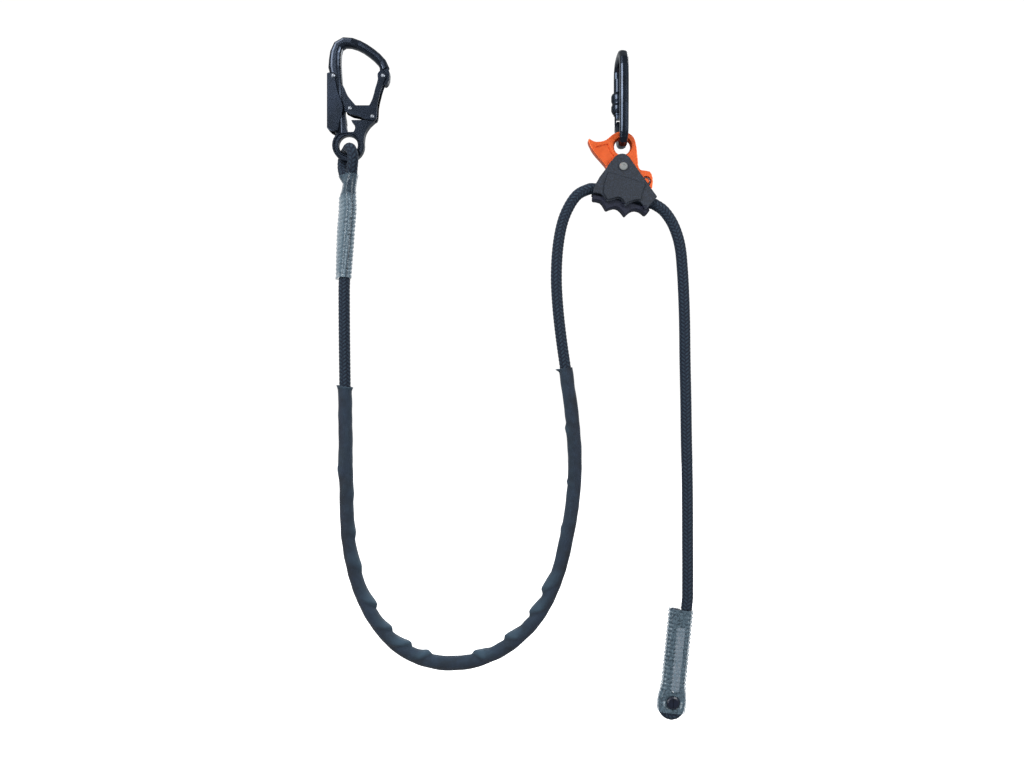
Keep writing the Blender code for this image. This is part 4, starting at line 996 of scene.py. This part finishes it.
def stitch_row(name, start, end, outward, to_world, node):
    """A row of short slanted stitches from start to end, each a bent length of thread."""
    start, end, outward = Vector(start), Vector(end), Vector(outward)
    span = (end - start).length
    run = (end - start).normalized()
    sideways = run.cross(outward)
    count = int(span / STITCH_LENGTH)
    vertices, faces = [], []
    for number in range(count):
        base = start + run * (number + 0.5) * span / count
        for ring in range(STITCH_RINGS):
            t = ring / (STITCH_RINGS - 1) - 0.5
            middle = base + run * t * STITCH_LENGTH * STITCH_SPAN
            middle = middle + sideways * t * STITCH_SLANT
            middle = middle + outward * STITCH_ARCH * math.cos(math.pi * t)
            size = STITCH_RADIUS * math.sqrt(1.0 - (2 * t) ** 2 * STITCH_TAPER)
            for corner in range(STITCH_SIDES):
                turn = 2 * math.pi * corner / STITCH_SIDES
                spot = middle + (outward * math.cos(turn) + sideways * math.sin(turn)) * size
                vertices.append(tuple(to_world(spot)))
        first = number * STITCH_RINGS * STITCH_SIDES
        for ring in range(STITCH_RINGS - 1):
            for corner in range(STITCH_SIDES):
                after = (corner + 1) % STITCH_SIDES
                low = first + ring * STITCH_SIDES
                faces.append((low + corner, low + after,
                              low + STITCH_SIDES + after, low + STITCH_SIDES + corner))
        last = first + (STITCH_RINGS - 1) * STITCH_SIDES
        faces.append(tuple(range(first, first + STITCH_SIDES))[::-1])
        faces.append(tuple(range(last, last + STITCH_SIDES)))
    mesh = bpy.data.meshes.new(name)
    mesh.from_pydata(vertices, [], faces)
    mesh.update()
    mesh.shade_smooth()
    mesh.materials.append(SEAM)
    piece = place_piece(name, mesh)
    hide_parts(node)
    return piece


# How far the thread lies from the eye's middle plane, and where each seam starts and ends.
SEAM_HEIGHT = 3.4
SEAM_FACES = (("front", -1), ("rear", 1))
TAIL_SEAM = (30.0, 92.0)
HOOK_SEAM = (-58.0, -135.0)

for face, side in SEAM_FACES:
    stitch_row(
        "tail_eye_stitches_" + face, (0.0, side * SEAM_HEIGHT, TAIL_SEAM[0]),
        (0.0, side * SEAM_HEIGHT, TAIL_SEAM[1]), (0.0, side, 0.0), on_tail, "tail_eye_stitching_" + face)
for face, side in SEAM_FACES:
    top_middle, top_offset = eye_pair(HOOK_SEAM[0])
    foot_middle, foot_offset = eye_pair(HOOK_SEAM[1])
    hook_normal = Vector((0.0, 0.0, 1.0)).cross(((top_offset + foot_offset) / 2).normalized())
    lift = hook_normal * side * SEAM_HEIGHT
    stitch_row("hook_eye_stitches_" + face, top_middle + lift, foot_middle + lift, hook_normal * side,
               lambda p: HOOK_RING + p * MM, "hook_eye_stitching_" + face)


# Studio

FLOOR_HALF = 6.0
FLOOR_LEVEL = -1.1
PAPER_GLOW = 1.1
WHITE = (1.0, 1.0, 1.0, 1.0)
# The surroundings are brighter where they are seen than where they light the lanyard.
LIGHTING_STRENGTH = 0.42
SEEN_STRENGTH = 1.05
LIGHTING_COLOUR = (0.9, 0.96, 1.0, 1.0)
LIT_SPOT = Vector((-0.1, 0.0, -0.3))
# Lights as (name, place, power in watts), and for the softboxes their width before the power.
STRIP_WIDTH = 0.35
STRIP_HEIGHT = 1.6
STRIP_COLOUR = (0.93, 0.98, 1.0)
STRIPS = (("left strip", (-1.3, -1.1, -0.1), 20.0), ("right strip", (0.95, -1.15, -0.1), 20.0))
SOFTBOXES = (("key softbox", (-1.1, -1.2, 0.9), 0.8, 26.0), ("fill softbox", (1.2, -1.1, 0.1), 0.7, 9.0),
             ("top softbox", (0.0, 0.3, 1.1), 0.9, 12.0), ("rear softbox", (0.9, 1.3, 0.5), 0.9, 12.0))


def lay_floor():
    """A white paper floor well below the lanyard, which neither lights it nor shows in its gloss."""
    mesh = bpy.data.meshes.new("studio_floor")
    mesh.from_pydata([(-FLOOR_HALF, -FLOOR_HALF, FLOOR_LEVEL), (FLOOR_HALF, -FLOOR_HALF, FLOOR_LEVEL),
                      (FLOOR_HALF, FLOOR_HALF, FLOOR_LEVEL), (-FLOOR_HALF, FLOOR_HALF, FLOOR_LEVEL)],
                     [], [(0, 1, 2, 3)])
    floor = bpy.data.objects.new("studio_floor", mesh)
    scene.collection.objects.link(floor)
    paper, _, shader = new_finish("white studio paper", "f7f7f7", 0.9)
    shader.inputs["Emission Color"].default_value = WHITE
    shader.inputs["Emission Strength"].default_value = PAPER_GLOW
    shader.inputs["Specular IOR Level"].default_value = 0.0
    mesh.materials.append(paper)
    floor.visible_glossy = False
    floor.visible_diffuse = False


def surround_with_white():
    """White surroundings to the camera, and a dimmer, slightly blue light to the lanyard."""
    world = bpy.data.worlds.new("studio surroundings")
    scene.world = world
    world.use_nodes = True
    tree = world.node_tree
    back = tree.nodes["Background"]
    seen = add(tree, "ShaderNodeLightPath").outputs["Is Camera Ray"]
    tree.links.new(spread(tree, seen, LIGHTING_STRENGTH, SEEN_STRENGTH), back.inputs["Strength"])
    colour = add(tree, "ShaderNodeMix", {"data_type": "RGBA"})
    tree.links.new(seen, colour.inputs["Factor"])
    colour.inputs[6].default_value = LIGHTING_COLOUR
    colour.inputs[7].default_value = WHITE
    tree.links.new(colour.outputs[2], back.inputs["Color"])


def area_light(name, place, power):
    """An area light, turned to the middle of the lanyard."""
    data = bpy.data.lights.new(name, "AREA")
    data.energy = power
    light = bpy.data.objects.new(name, data)
    light.location = place
    light.rotation_euler = (Vector(place) - LIT_SPOT).to_track_quat("Z", "Y").to_euler()
    scene.collection.objects.link(light)
    return light


def hang_strips():
    """Upright strips that show in the gloss alone, as the lines along the metal."""
    for name, place, power in STRIPS:
        light = area_light(name, place, power)
        light.data.shape = "RECTANGLE"
        light.data.size = STRIP_WIDTH
        light.data.size_y = STRIP_HEIGHT
        light.data.color = STRIP_COLOUR
        light.visible_diffuse = False


def hang_softboxes():
    """Soft lights from the front, from above and from the rear. The top one gives no highlights."""
    for name, place, width, power in SOFTBOXES:
        light = area_light(name, place, power)
        light.data.shape = "SQUARE"
        light.data.size = width
        light.visible_glossy = name != "top softbox"


lay_floor()
surround_with_white()
hang_strips()
hang_softboxes()
scene.view_settings.view_transform = "Standard"
